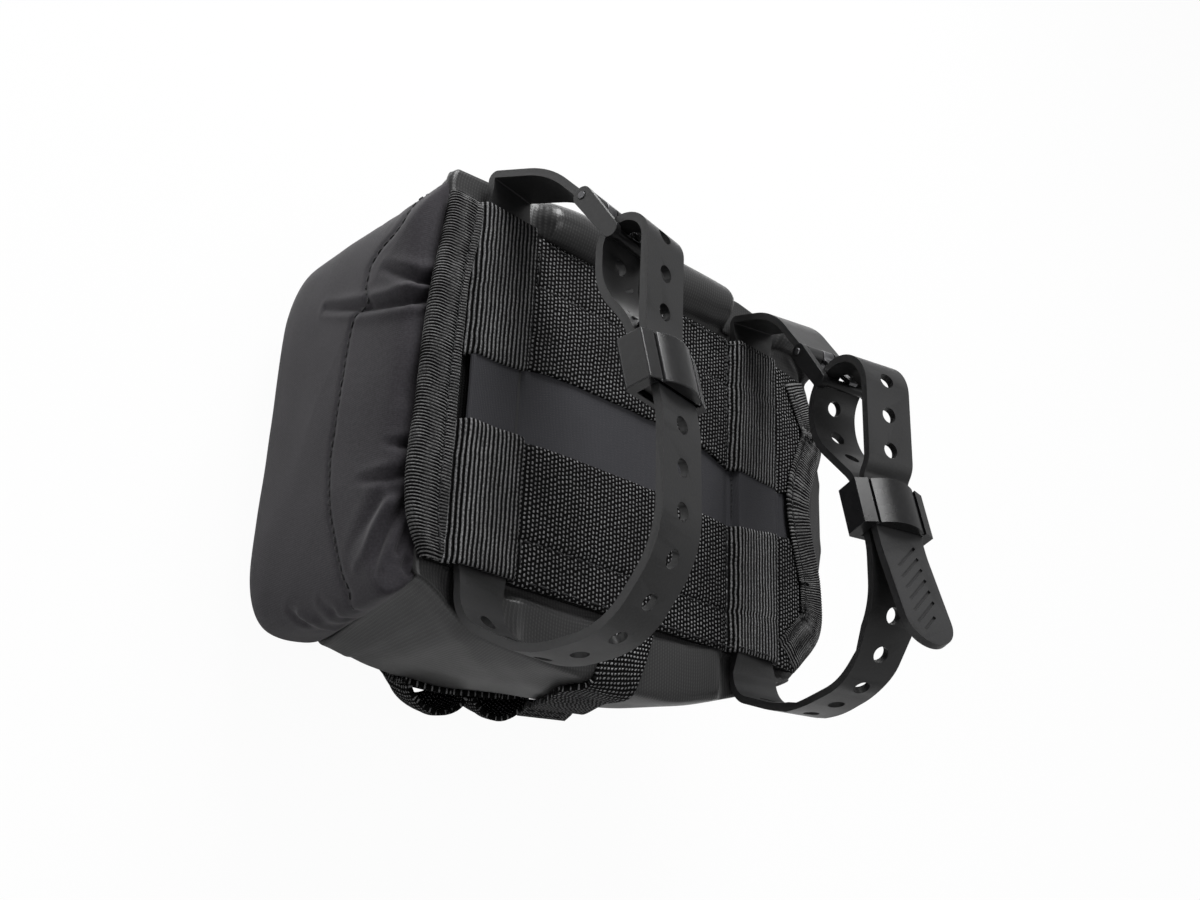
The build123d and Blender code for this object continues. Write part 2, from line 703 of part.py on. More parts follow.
def cover_dome(inset):
    """The puffed form of the cover, as a solid, drawn in by inset."""
    skirt = free_gap + elastic_thickness + 4 * seat_gap + cover_wall - inset
    base = -cover_skirt - (inset > 0)
    steps = [(base, base, skirt + skirt_flare, 0.0), (0.6, 0.6, skirt, 0.0)]
    for share, belly, grow, top in ((0.3, 0.45, 1.5, -0.6), (0.62, 0.75, -1.0, -2.5), (0.88, 0.92, -7.0, -8.0)):
        steps.append((cover_puff * share, cover_belly * belly, grow - inset, top))
    steps.append((cover_puff - inset, cover_belly - inset, -18.0, -18.0))
    sections = [cover_section(out_top, out_low, grow, top - inset) for out_top, out_low, grow, top in steps]
    return loft(sections, ruled=True)


def cover():
    """Softshell cover over the mouth, folded over the rim on three sides and sewn at the mounting side."""
    shell = cover_dome(0) - cover_dome(cover_wall)
    return shell - top_relief(cover_skirt + 3.0)


def top_relief(depth):
    """The space at the mounting side that the cover leaves to the body's shoulder and the panel."""
    plane = Plane(origin=(mouth_x, 0, 0), x_dir=(0, 1, 0), z_dir=mouth_normal * -1)
    room = Pos(0, 0, depth / 2 - 0.6) * Box(3 * body_half_width, 2 * cover_relief, depth)
    return plane * room


cover_relief = 14.0


def cover_elastic(outside):
    """Elastic inside the cover's hem, between the rim and the cover that lies outside it."""
    ring = body_volume(free_gap + elastic_thickness) - body_volume(free_gap)
    plane = Plane(origin=(mouth_x, 0, 0), x_dir=(0, 1, 0), z_dir=mouth_normal * -1)
    room = Pos(0, 0, cover_skirt - elastic_width / 2) * Box(3 * body_half_width, far, elastic_width)
    return (ring & plane * room) - top_relief(cover_skirt + 3.0) - outside


mouth_cover = cover()

fabric = body_fabric()
nodes = {
    "body_shell": body_part(fabric, False),
    "closed_end": body_part(fabric, True),
    "stiffener_plate": stiffener(),
    "mount_backing": backing(),
    "upper_band": band(1),
    "lower_band": band(-1),
    "label_tape": label_tape(),
    "front_binding": binding(True),
    "rear_binding": binding(False),
    "front_strap": strap(front_loop, front_fixed, False, (6, 22.0, 1)),
    "rear_strap": strap(rear_loop, rear_fixed, True, (10, 3.5, 1)),
    "side_webbing": side_webbing(),
    "loop_strip": loop_strip(),
    "loop_arches": loop_arches(),
    "cover": mouth_cover,
    "cover_elastic": cover_elastic(mouth_cover),
}
for name, loop in (("front", front_loop), ("rear", rear_loop)):
    nodes[name + "_buckle_frame"] = buckle_frame(loop)
    nodes[name + "_buckle_pin"] = buckle_pin(loop)
    nodes[name + "_buckle_tongue"] = buckle_tongue(loop)
    nodes[name + "_keeper"] = keeper(loop)

for name, shape in nodes.items():
    export_step(shape, f"parts/{name}.step")
    box = shape.bounding_box()
    print(name, len(shape.solids()), round(shape.volume, 1), [round(v, 1) for v in (*box.min, *box.max)])
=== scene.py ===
import math
import bpy
import bmesh
import numpy as np
from mathutils import Vector, Matrix, noise
from mathutils.bvhtree import BVHTree


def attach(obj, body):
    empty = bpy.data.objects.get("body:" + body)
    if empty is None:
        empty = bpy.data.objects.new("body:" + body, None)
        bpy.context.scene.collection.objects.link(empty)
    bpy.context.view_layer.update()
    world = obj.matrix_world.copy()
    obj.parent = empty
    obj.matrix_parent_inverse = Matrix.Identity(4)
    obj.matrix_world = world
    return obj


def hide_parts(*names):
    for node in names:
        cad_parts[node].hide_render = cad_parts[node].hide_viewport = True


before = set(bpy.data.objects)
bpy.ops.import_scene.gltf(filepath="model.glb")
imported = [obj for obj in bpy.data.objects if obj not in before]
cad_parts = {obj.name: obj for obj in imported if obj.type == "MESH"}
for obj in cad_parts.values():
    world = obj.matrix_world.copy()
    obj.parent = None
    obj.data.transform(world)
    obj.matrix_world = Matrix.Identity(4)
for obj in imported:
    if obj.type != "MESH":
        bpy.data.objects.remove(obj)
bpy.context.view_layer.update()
MM = 0.001

# ---------------------------------------------------------------- values shared with the CAD source, mm
FRONT_X, PANEL, HALF = -77.5, 155.0, 47.5    # the panel's front edge, length and half width
MOUTH_X, MOUTH_DEPTH, SETBACK = -72.0, 76.26, 23.0
BASE = -2.4                      # outer side of the shell under the panel
REST_Z = -82.0                   # the flat outer side that the bag rests on
STRAP_W, STRAP_T, STRAP_Z = 14.4, 2.0, -0.45
LOOPS = {"front": (-56.4, 8.0), "rear": (43.0, -15.2)}     # place along the bag, lean in degrees
TUNNELS = tuple(x for x, lean in LOOPS.values())
ALONG = np.array([0, 1.0, 0])


def hermite(x, xs, ys):
    """Smooth curve through points, without overshoot."""
    xs, ys = np.asarray(xs, float), np.asarray(ys, float)
    d = np.diff(ys) / np.diff(xs)
    m = np.zeros(len(xs))
    m[0], m[-1] = d[0], d[-1]
    same = d[:-1] * d[1:] > 0
    m[1:-1][same] = (2 * d[:-1] * d[1:] / (d[:-1] + d[1:] + 1e-12))[same]
    x = np.clip(np.asarray(x, float), xs[0], xs[-1])
    i = np.clip(np.searchsorted(xs, x, side="right") - 1, 0, len(xs) - 2)
    h = xs[i + 1] - xs[i]
    t = (x - xs[i]) / h
    return ((1 + 2 * t) * (1 - t) ** 2 * ys[i] + t * (1 - t) ** 2 * h * m[i]
            + t * t * (3 - 2 * t) * ys[i + 1] + t * t * (t - 1) * h * m[i + 1])


def smooth(e0, e1, x):
    t = np.clip((np.asarray(x, float) - e0) / (e1 - e0), 0, 1)
    return t * t * (3 - 2 * t)


def bump(x, c, w):
    return np.exp(-((np.asarray(x, float) - c) / w) ** 2)


def fuzz(p, scale, seed=0.0):
    """Smooth noise at points given in mm; scale in mm."""
    return np.array([noise.noise(Vector((q[0] / scale + seed, q[1] / scale - seed, q[2] / scale + 2 * seed)))
                     for q in p.reshape(-1, 3)]).reshape(p.shape[:-1])


def run_length(p):
    """How far along a line each of its places is."""
    return np.concatenate([[0], np.cumsum(np.linalg.norm(np.diff(p, axis=0), axis=1))])


def soften(*lines):
    """Evens out lines of places, in place, and leaves their ends."""
    for p in lines:
        p[1:-1] = (p[:-2] + 2 * p[1:-1] + p[2:]) / 4


def columns(t, s, p):
    """The places at t along a line of places p whose own distances are s."""
    return np.stack([np.interp(t, s, p[:, k]) for k in range(p.shape[1])], 1)


def face_normals(g, outward):
    """Normals of a grid that closes on itself, turned to the side that outward points to."""
    du = np.gradient(g, axis=0)
    dv = np.roll(g, -1, axis=1) - np.roll(g, 1, axis=1)
    nrm = np.cross(du, dv)
    nrm /= np.linalg.norm(nrm, axis=2)[..., None] + 1e-9
    return nrm * np.sign((nrm * outward).sum(axis=2, keepdims=True) + 1e-12)


def resample(points, n):
    p = np.asarray(points, float)
    s = run_length(p)
    return columns(np.linspace(0, s[-1], n), s, p)


def catmull(points, per=12):
    p = np.asarray(points, float)
    q = np.vstack([2 * p[0] - p[1], p, 2 * p[-1] - p[-2]])
    out = []
    for i in range(1, len(q) - 2):
        for t in np.linspace(0, 1, per, endpoint=False):
            a, b, c, d = q[i - 1], q[i], q[i + 1], q[i + 2]
            out.append(0.5 * (2 * b + (c - a) * t + (2 * a - 5 * b + 4 * c - d) * t * t
                              + (3 * b - a - 3 * c + d) * t ** 3))
    out.append(p[-1])
    return np.array(out)


# ---------------------------------------------------------------- meshes
def mesh_object(name, verts, faces, uv=None):
    me = bpy.data.meshes.new(name)
    me.from_pydata([tuple(v) for v in np.asarray(verts, float).reshape(-1, 3) * MM], [], faces)
    me.update()
    if uv is not None:
        layer = me.uv_layers.new(name="Cloth")
        flat = np.asarray(uv, float).reshape(-1, 2)
        index = np.zeros(len(me.loops), int)
        me.loops.foreach_get("vertex_index", index)
        layer.data.foreach_set("uv", flat[index].ravel())
    me.polygons.foreach_set("use_smooth", [True] * len(me.polygons))
    ob = bpy.data.objects.new(name, me)
    bpy.context.scene.collection.objects.link(ob)
    return ob


def grid_faces(nu, nv, wrap=False):
    """Faces of an nu x nv grid of points; wrap joins the last column to the first."""
    faces = []
    for i in range(nu - 1):
        for j in range(nv if wrap else nv - 1):
            k = (j + 1) % nv
            faces.append((i * nv + j, i * nv + k, (i + 1) * nv + k, (i + 1) * nv + j))
    return faces


def apply_modifiers(ob):
    bpy.context.view_layer.update()
    dg = bpy.context.evaluated_depsgraph_get()
    me = bpy.data.meshes.new_from_object(ob.evaluated_get(dg), preserve_all_data_layers=True, depsgraph=dg)
    ob.modifiers.clear()
    ob.data = me


def dress(ob, body, material, replaces=()):
    ob.data.materials.clear()
    ob.data.materials.append(material)
    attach(ob, body)
    if replaces:
        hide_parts(*replaces)
    return ob


def recalc_normals(ob):
    bm = bmesh.new()
    bm.from_mesh(ob.data)
    bmesh.ops.recalc_face_normals(bm, faces=bm.faces)
    bm.to_mesh(ob.data)
    bm.free()


def turn_faces(ob, axis, sign, above=None):
    """Flips the faces where they look away from the given side; above leaves out the faces lower than that."""
    total = sum(q.normal[axis] * q.area for q in ob.data.polygons if above is None or q.center.z > above)
    if total * sign < 0:
        ob.data.flip_normals()


def thicken(ob, mm):
    """Gives a surface its thickness, inwards from its outer face."""
    m = ob.modifiers.new("thick", "SOLIDIFY")
    m.thickness, m.offset, m.use_rim, m.use_even_offset = mm * MM, -1.0, True, False
    apply_modifiers(ob)


def bevelled(node, name, body, material, width=0.3, segments=2, cutter=None, edge=None):
    """A copy of a rigid CAD piece with its moulded edges rounded; edge is the material of the rounded edges, a lighter
    one that paints a highlight on them.
    """
    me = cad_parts[node].data.copy()
    me.name = name
    ob = bpy.data.objects.new(name, me)
    bpy.context.scene.collection.objects.link(ob)
    bm = bmesh.new()
    bm.from_mesh(me)
    bmesh.ops.remove_doubles(bm, verts=bm.verts, dist=0.00001)
    bmesh.ops.dissolve_limit(bm, angle_limit=math.radians(1.0), verts=bm.verts, edges=bm.edges)
    bm.to_mesh(me)
    bm.free()
    for attribute in ("custom_normal", "sharp_edge", "sharp_face"):
        if attribute in me.attributes:
            me.attributes.remove(me.attributes[attribute])
    if cutter is not None:
        c = ob.modifiers.new("cut", "BOOLEAN")
        c.operation, c.solver, c.object = "DIFFERENCE", "EXACT", cutter
        apply_modifiers(ob)
        me = ob.data
    me.polygons.foreach_set("use_smooth", [True] * len(me.polygons))
    b = ob.modifiers.new("bevel", "BEVEL")
    b.width, b.segments, b.limit_method, b.angle_limit = width * MM, segments, "ANGLE", math.radians(32)
    b.harden_normals = True
    if edge is not None:
        me.materials.clear()
        me.materials.append(material)
        me.materials.append(edge)
        me.polygons.foreach_set("material_index", [0] * len(me.polygons))
        b.material = 1
    apply_modifiers(ob)
    marks = [q.material_index for q in ob.data.polygons]
    dress(ob, body, material, [node])
    if edge is not None:
        ob.data.materials.append(edge)
        ob.data.polygons.foreach_set("material_index", marks)


def threads(name, runs, radius, body, material, length=2.6, gap=0.9, lift=0.25, jitter=0.0):
    """Rows of sewn stitches. Each run is (points, normals) in mm; a stitch is a small arched bead of thread."""
    verts, faces, uvs = [], [], []
    rng = np.random.default_rng(7)
    for points, normals in runs:
        p = np.asarray(points, float)
        nrm = np.asarray(normals, float)
        s = run_length(p)
        at = 0.4
        while at + length < s[-1]:
            t = np.linspace(at, at + length, 7)
            c, n = columns(t, s, p), columns(t, s, nrm)
            n /= np.linalg.norm(n, axis=1)[:, None]
            f = np.linspace(-1, 1, 7)
            side = np.cross(n, np.gradient(c, axis=0))
            side /= np.linalg.norm(side, axis=1)[:, None] + 1e-9
            c = c + n * (lift * (1 - f ** 4) - 0.35 * radius)[:, None] + side * rng.normal(0, jitter)
            r = radius * np.sqrt(np.clip(1 - f ** 6, 0.06, 1))
            start = len(verts)
            for q in range(7):
                for a in np.linspace(0, 2 * math.pi, 6, endpoint=False):
                    verts.append(c[q] + r[q] * (math.cos(a) * side[q] + math.sin(a) * n[q]))
                    uvs.append((t[q] * MM, a * 0.0002))
            faces += [tuple(start + q for q in f) for f in grid_faces(7, 6, wrap=True)]
            faces.append(tuple(start + a for a in range(5, -1, -1)))
            faces.append(tuple(start + 36 + a for a in range(6)))
            at += length + gap
    dress(mesh_object(name, verts, faces, uvs), body, material)


# ---------------------------------------------------------------- materials
def new_material(name):
    """A material, its net of nodes and its shader."""
    m = bpy.data.materials.new(name)
    m.use_nodes = True
    return m, Net(m.node_tree), m.node_tree.nodes["Principled BSDF"]


def plain_values(bsdf, **values):
    """Sets numbers on the shader's own sockets; an underscore in a name stands for a space."""
    for k, v in values.items():
        bsdf.inputs[k.replace("_", " ")].default_value = v


class Net:
    """Short ways to add shader nodes."""

    def __init__(self, nt):
        self.nt = nt

    def node(self, kind, **inputs):
        n = self.nt.nodes.new(kind)
        for k, v in inputs.items():
            self.put(n.inputs[k], v)
        return n

    def put(self, socket, v):
        if isinstance(v, bpy.types.NodeSocket):
            self.nt.links.new(v, socket)
        else:
            socket.default_value = v

    def math(self, op, a, b=0.0, c=0.0):
        n = self.nt.nodes.new("ShaderNodeMath")
        n.operation = op
        for i, v in enumerate((a, b, c)):
            self.put(n.inputs[i], v)
        return n.outputs[0]

    def mix(self, f, a, b):
        n = self.nt.nodes.new("ShaderNodeMix")
        n.data_type = "RGBA"
        for k, v in (("Factor", f), ("A", a), ("B", b)):
            self.put(n.inputs[k], v)
        return n.outputs["Result"]

    def ramp(self, f, lo, hi, a=0.0, b=1.0):
        n = self.nt.nodes.new("ShaderNodeMapRange")
        n.interpolation_type = "SMOOTHSTEP"
        self.put(n.inputs["Value"], f)
        for k, v in (("From Min", lo), ("From Max", hi), ("To Min", a), ("To Max", b)):
            n.inputs[k].default_value = v
        return n.outputs[0]

    def uv(self):
        n = self.nt.nodes.new("ShaderNodeUVMap")
        n.uv_map = "Cloth"
        s = self.nt.nodes.new("ShaderNodeSeparateXYZ")
        self.nt.links.new(n.outputs[0], s.inputs[0])
        return s.outputs[0], s.outputs[1]

    def place(self):
        return self.nt.nodes.new("ShaderNodeTexCoord").outputs["Object"]

    def noise(self, vector, scale, detail=3.0, rough=0.5):
        n = self.node("ShaderNodeTexNoise", Scale=scale, Detail=detail, Roughness=rough, Vector=vector)
        return n.outputs["Fac"]

    def wave(self, value, pitch_mm, shift=0.0):
        """0..1 ribs at a pitch along a coordinate given in metres."""
        a = self.math("MULTIPLY_ADD", value, 2 * math.pi / (pitch_mm * MM), shift)
        return self.math("MULTIPLY_ADD", self.math("SINE", a), 0.5, 0.5)

    def bump(self, bsdf, height, distance, strength=1.0):
        n = self.node("ShaderNodeBump", Strength=strength, Distance=distance, Height=height)
        self.put(bsdf.inputs["Normal"], n.outputs[0])


def coated_fabric():
    m, n, b = new_material("coated_fabric")
    (u, v), obj = n.uv(), n.place()
    weave = n.math("MULTIPLY", n.wave(u, 0.85), n.math("MULTIPLY_ADD", n.wave(v, 0.95), 0.5, 0.5))
    grain = n.noise(obj, 900.0, 4.0)
    cloud = n.noise(obj, 26.0, 3.0)
    height = n.math("ADD", n.math("MULTIPLY", weave, 0.55), n.math("MULTIPLY", grain, 0.45))
    n.bump(b, height, 0.00008, 0.6)
    tone = n.mix(n.ramp(cloud, 0.3, 0.7), (0.017, 0.017, 0.0175, 1), (0.023, 0.0228, 0.0235, 1))
    # painted sheen: the raised weave ribs are mixed towards a lighter grey
    tone = n.mix(n.math("MULTIPLY", n.ramp(weave, 0.3, 0.95), 0.42), tone, (0.078, 0.077, 0.076, 1))
    n.put(b.inputs["Base Color"], tone)
    n.put(b.inputs["Roughness"], n.ramp(n.math("ADD", cloud, n.math("MULTIPLY", grain, 0.3)), 0.4, 0.9, 0.33, 0.45))
    plain_values(b, Specular_IOR_Level=0.5, Sheen_Weight=0.08, Sheen_Roughness=0.45)
    return m


def softshell():
    m, n, b = new_material("softshell")
    (u, v), obj = n.uv(), n.place()
    weave = n.math("MULTIPLY", n.wave(u, 0.55), n.wave(v, 0.55))
    fibre = n.noise(obj, 1500.0, 5.0, 0.6)
    cloud = n.noise(obj, 34.0, 4.0)
    height = n.math("ADD", n.math("MULTIPLY", weave, 0.4), n.math("MULTIPLY", fibre, 0.8))
    n.bump(b, height, 0.00010, 0.55)
    tone = n.mix(n.ramp(cloud, 0.3, 0.7), (0.0215, 0.0195, 0.0235, 1), (0.0275, 0.0250, 0.0298, 1))
    tone = n.mix(n.ramp(fibre, 0.35, 0.7, 0.0, 0.6), tone, (0.044, 0.040, 0.047, 1))
    n.put(b.inputs["Base Color"], tone)
    plain_values(b, Roughness=0.86, Specular_IOR_Level=0.3, Sheen_Weight=0.12, Sheen_Roughness=0.5)
    return m


def webbing(name, along, across, tone, crest_highlight, depth=0.00045, rough=0.62, plain=()):
    """Woven tape, whose raised knots are painted lighter as a highlight. u runs along the tape and v across it; along
    and across are its pitches in mm.

    Between each pair of places in plain, given in metres along x, the threads lie in straight unbroken ribs.
    """
    m, n, b = new_material(name)
    (u, v), obj = n.uv(), n.place()
    x = n.node("ShaderNodeSeparateXYZ", Vector=obj).outputs[0]
    wob = n.math("MULTIPLY_ADD", n.noise(obj, 220.0, 2.0), 0.0006, -0.0003)
    uu = n.math("ADD", u, wob)
    column = n.wave(uu, along)
    step = n.math("GREATER_THAN", n.math("SINE", n.math("MULTIPLY", uu, math.pi / (along * MM))), 0.0)
    slip = n.math("MULTIPLY_ADD", n.noise(obj, 330.0, 1.0), 0.0011, n.math("MULTIPLY", step, across * 0.38 * MM))
    row = n.wave(n.math("ADD", v, slip), across)
    broken = 1.0
    for lo, hi in plain:
        place = n.math("MULTIPLY_ADD", n.noise(obj, 260.0, 2.0), 0.006, n.math("SUBTRACT", x, 0.003))
        inside = n.math("MULTIPLY", n.ramp(place, lo - 0.002, lo + 0.002),
                        n.ramp(place, hi - 0.006, hi + 0.001, 1.0, 0.0))
        broken = n.math("MULTIPLY", broken, n.math("SUBTRACT", 1.0, inside))
    deep = n.math("MULTIPLY_ADD", broken, 0.42, 0.12)
    beads = n.math("SUBTRACT", 1.0, n.math("MULTIPLY", n.ramp(row, 0.75, 0.25), deep))
    knot = n.math("MULTIPLY", n.math("POWER", column, 0.8), beads)
    fibre = n.noise(obj, 2400.0, 3.0, 0.6)
    height = n.math("ADD", knot, n.math("MULTIPLY", fibre, 0.22))
    n.bump(b, height, depth, 1.0)
    # random patches in how strong the painted highlight on the knots is
    highlight_amount = n.noise(obj, 60.0, 4.0, 0.6)
    # painted highlight: the raised knots of the real weave pattern take the lighter tone
    f = n.math("MULTIPLY", n.ramp(knot, 0.42, 0.86), n.ramp(highlight_amount, 0.25, 0.75, 0.6, 1.0))
    f = n.math("MULTIPLY", f, n.ramp(fibre, 0.32, 0.62, 0.35, 1.0))
    n.put(b.inputs["Base Color"], n.mix(f, tone, crest_highlight))
    n.put(b.inputs["Roughness"], n.ramp(fibre, 0.3, 0.7, rough, rough + 0.2))
    plain_values(b, Specular_IOR_Level=0.08, Sheen_Weight=0.0)
    return m


def grosgrain(name, pitch, tone, crest_highlight):
    m, n, b = new_material(name)
    (u, v), obj = n.uv(), n.place()
    wob = n.math("MULTIPLY_ADD", n.noise(obj, 160.0, 2.0), 0.0006, -0.0003)
    rib = n.wave(n.math("ADD", v, wob), pitch)
    fine = n.wave(u, 0.9)
    fibre = n.noise(obj, 2200.0, 3.0, 0.6)
    height = n.math("ADD", n.math("MULTIPLY", rib, n.math("MULTIPLY_ADD", fine, 0.35, 0.65)),
                    n.math("MULTIPLY", fibre, 0.25))
    n.bump(b, height, 0.0004, 1.0)
    highlight_amount = n.noise(obj, 70.0, 4.0, 0.6)
    # painted highlight: the rib crests take the lighter tone, in random patches
    f = n.math("MULTIPLY", n.ramp(rib, 0.3, 0.85), n.ramp(highlight_amount, 0.25, 0.75, 0.55, 1.0))
    f = n.math("MULTIPLY", f, n.ramp(fibre, 0.32, 0.62, 0.45, 1.0))
    n.put(b.inputs["Base Color"], n.mix(f, tone, crest_highlight))
    plain_values(b, Roughness=0.78, Specular_IOR_Level=0.1)
    return m


def moulded(name, tone, rough, grain=0.00003, scale=1600.0, highlight_amount=0.5):
    m, n, b = new_material(name)
    obj = n.place()
    fine = n.noise(obj, scale, 4.0, 0.6)
    cloud = n.noise(obj, 45.0, 4.0, 0.6)
    geo = n.node("ShaderNodeNewGeometry")
    n.bump(b, fine, grain, 0.6)
    light = tuple(c * 1.9 + 0.006 for c in tone[:3]) + (1,)
    # painted highlight: sharp convex edges are mixed towards the lighter tone, as a rim of light would show them
    edge = n.ramp(geo.outputs["Pointiness"], 0.52, 0.62, 0.0, highlight_amount)
    base = n.mix(n.ramp(cloud, 0.3, 0.75, 0.0, 0.3), tone, light)
    base = n.mix(n.ramp(fine, 0.4, 0.7, 0.0, 0.45), base, light)
    n.put(b.inputs["Base Color"], n.mix(edge, base, light))
    n.put(b.inputs["Roughness"], n.ramp(cloud, 0.25, 0.75, rough - 0.05, rough + 0.07))
    plain_values(b, Specular_IOR_Level=0.5)
    return m


def steel():
    m, n, b = new_material("pin_steel")
    obj = n.place()
    scratch = n.noise(obj, 700.0, 5.0, 0.7)
    cloud = n.noise(obj, 120.0, 3.0)
    n.put(b.inputs["Base Color"], n.mix(n.ramp(cloud, 0.35, 0.7), (0.10, 0.10, 0.105, 1), (0.36, 0.36, 0.37, 1)))
    n.put(b.inputs["Roughness"], n.ramp(scratch, 0.3, 0.7, 0.24, 0.42))
    plain_values(b, Metallic=1.0)
    n.bump(b, scratch, 0.00002, 0.5)
    return m


def thread_material(name, tone):
    m, n, b = new_material(name)
    u, v = n.uv()
    twist = n.wave(n.math("ADD", u, v), 0.5)
    n.bump(b, twist, 0.00008, 0.8)
    # painted sheen: the ridges of the thread's twist are mixed towards a lighter tone
    n.put(b.inputs["Base Color"], n.mix(twist, tone, tuple(c * 1.8 for c in tone[:3]) + (1,)))
    plain_values(b, Roughness=0.6)
    return m


MAT = {
    "shell": coated_fabric(),
    "soft": softshell(),
    "band": webbing("band_webbing", 1.28, 1.2, (0.0008, 0.0008, 0.0009, 1), (0.36, 0.36, 0.366, 1),
                    plain=((-0.0685, -0.0465), (0.0325, 0.0535))),
    "side": webbing("side_webbing", 1.3, 1.1, (0.001, 0.001, 0.0011, 1), (0.42, 0.42, 0.427, 1)),
    "bind": grosgrain("binding_tape", 0.82, (0.001, 0.001, 0.0012, 1), (0.27, 0.269, 0.27, 1)),
    "label": webbing("label_tape", 0.5, 0.42, (0.046, 0.046, 0.051, 1), (0.085, 0.085, 0.092, 1), 0.00005, 0.5),
    "strap": moulded("strap_tpu", (0.014, 0.014, 0.0145, 1), 0.40, 0.00005, 1700.0),
    # lighter copies of the strap and keeper materials for their rounded edges and the grip ridges: a painted highlight
    "strap_highlight": moulded("strap_highlight", (0.045, 0.045, 0.047, 1), 0.26, 0.00002, 1700.0, 0.0),
    "keeper": moulded("keeper_rubber", (0.0045, 0.0045, 0.005, 1), 0.27, 0.00002, 900.0, 0.3),
    "keeper_highlight": moulded("keeper_highlight", (0.02, 0.02, 0.021, 1), 0.2, 0.00001, 900.0, 0.0),
    "plastic": moulded("buckle_plastic", (0.005, 0.005, 0.0055, 1), 0.3, 0.00002, 1200.0, 0.3),
    "steel": steel(),
    "thread": thread_material("thread_black", (0.004, 0.004, 0.005, 1)),
    "backing": webbing("backing_cloth", 0.9, 0.7, (0.006, 0.006, 0.006, 1), (0.018, 0.018, 0.018, 1), 0.0002),
    "elastic": webbing("elastic", 0.8, 0.8, (0.006, 0.006, 0.006, 1), (0.02, 0.02, 0.02, 1), 0.0002),
}

# ---------------------------------------------------------------- camera, light and stage
RIGHT = Vector((0.702, 0.040, 0.711))
UP = Vector((-0.2995, 0.9227, 0.2436))
BACK = Vector((-0.646, -0.384, 0.660))
BACK.normalize()
UP = (UP - BACK * UP.dot(BACK)).normalized()
RIGHT = UP.cross(BACK)
EYE = Vector((-240.3, -136.0, 224.9)) * MM
LIT = Vector((0.0, 0.0, -0.03))      # the middle of the bag, which the lights look at
SENSOR, FOCAL = 36.0, 1316.0 / 1200.0    # sensor width in mm, focal length in sensor widths

cam_data = bpy.data.cameras.new("camera")
cam_data.sensor_width, cam_data.lens = SENSOR, SENSOR * FOCAL
cam_data.clip_start, cam_data.clip_end = 0.01, 20.0
camera = bpy.data.objects.new("camera", cam_data)
camera.matrix_world = Matrix([(RIGHT[k], UP[k], BACK[k], EYE[k]) for k in range(3)] + [(0, 0, 0, 1)])
bpy.context.scene.collection.objects.link(camera)
bpy.context.scene.camera = camera
bpy.context.scene.view_settings.view_transform = "Standard"


def area_light(name, direction, distance, size, power):
    """A soft box that looks at the bag from a direction given as right, up, back of the camera."""
    d = (RIGHT * direction[0] + UP * direction[1] + BACK * direction[2]).normalized()
    data = bpy.data.lights.new(name, "AREA")
    data.shape = "RECTANGLE"
    data.size = data.size_y = size
    data.energy = power
    ob = bpy.data.objects.new(name, data)
    ob.location = LIT + d * distance
    ob.rotation_euler = d.to_track_quat("Z", "Y").to_euler()
    bpy.context.scene.collection.objects.link(ob)


area_light("key", (-0.85, 0.30, 0.42), 0.9, 0.4, 7.6)
area_light("fill", (0.75, 0.2, 0.75), 1.1, 0.6, 3.0)
area_light("low", (-0.5, -0.85, 0.3), 0.8, 0.5, 7.0)
area_light("top", (0.30, 1.0, 0.1), 0.8, 0.45, 7.0)

world = bpy.data.worlds.new("studio")
bpy.context.scene.world = world
world.use_nodes = True
wn = Net(world.node_tree)
bg = world.node_tree.nodes["Background"]
ray = wn.node("ShaderNodeLightPath")
white = wn.math("MAXIMUM", ray.outputs["Is Camera Ray"], ray.outputs["Is Transmission Ray"])
glossy = wn.math("MULTIPLY", ray.outputs["Is Glossy Ray"], 0.12)
wn.put(bg.inputs["Color"], (1, 1, 1, 1))
wn.put(bg.inputs["Strength"], wn.math("ADD", wn.math("MULTIPLY_ADD", white, 0.78, 0.22), glossy))

REACH = 6000
floor_mesh = mesh_object("floor", [(-REACH, -REACH, 0), (REACH, -REACH, 0), (REACH, REACH, 0), (-REACH, REACH, 0)],
                         [(0, 1, 2, 3)])
floor_mesh.location = (0, 0, -0.0821)      # just under the bag's outer side
floor_pale, fn, fb = new_material("floor_pale")
plain_values(fb, Base_Color=(0.9, 0.9, 0.9, 1), Roughness=0.9)
seen = fn.math("MULTIPLY", fn.node("ShaderNodeLightPath").outputs["Is Camera Ray"], 0.96)
emit = fn.node("ShaderNodeEmission", Color=(1, 1, 1, 1), Strength=1.0)
mixer = fn.node("ShaderNodeMixShader")
for socket, value in zip(mixer.inputs, (seen, fb.outputs[0], emit.outputs[0])):
    fn.put(socket, value)
fn.put(fn.nt.nodes["Material Output"].inputs[0], mixer.outputs[0])
floor_mesh.data.materials.append(floor_pale)

# ---------------------------------------------------------------- body shell
# x at the mount side, x at the outer side, half width at each, shoulder height, depth, top and outer radius, sway
BODY = np.array([
    (-72.0, -50.0, 57.0, 55.0, 1.5, 77.0, 7.0, 17.0, -0.5),
    (-52.0, -32.0, 60.0, 56.5, 2.5, 80.5, 8.0, 21.0, -1.0),
    (-31.0, -14.0, 63.0, 57.5, 4.6, 82.0, 8.0, 24.0, -1.2),
    (7.0, 17.0, 65.5, 56.5, 4.6, 77.0, 9.0, 24.5, 0.0),
    (47.0, 47.0, 60.5, 49.0, 4.6, 61.5, 9.5, 25.0, 4.5),
    (76.0, 63.0, 51.0, 36.0, 3.0, 46.0, 10.0, 21.0, 7.0),
    (91.0, 74.0, 38.0, 22.0, -3.0, 31.0, 10.0, 13.0, 7.0),
    (95.5, 81.0, 20.0, 9.0, -10.0, 23.0, 6.0, 7.0, 6.0),
])
LENGTH = np.array([0, 20, 41, 79, 119, 147, 162, 167.0])


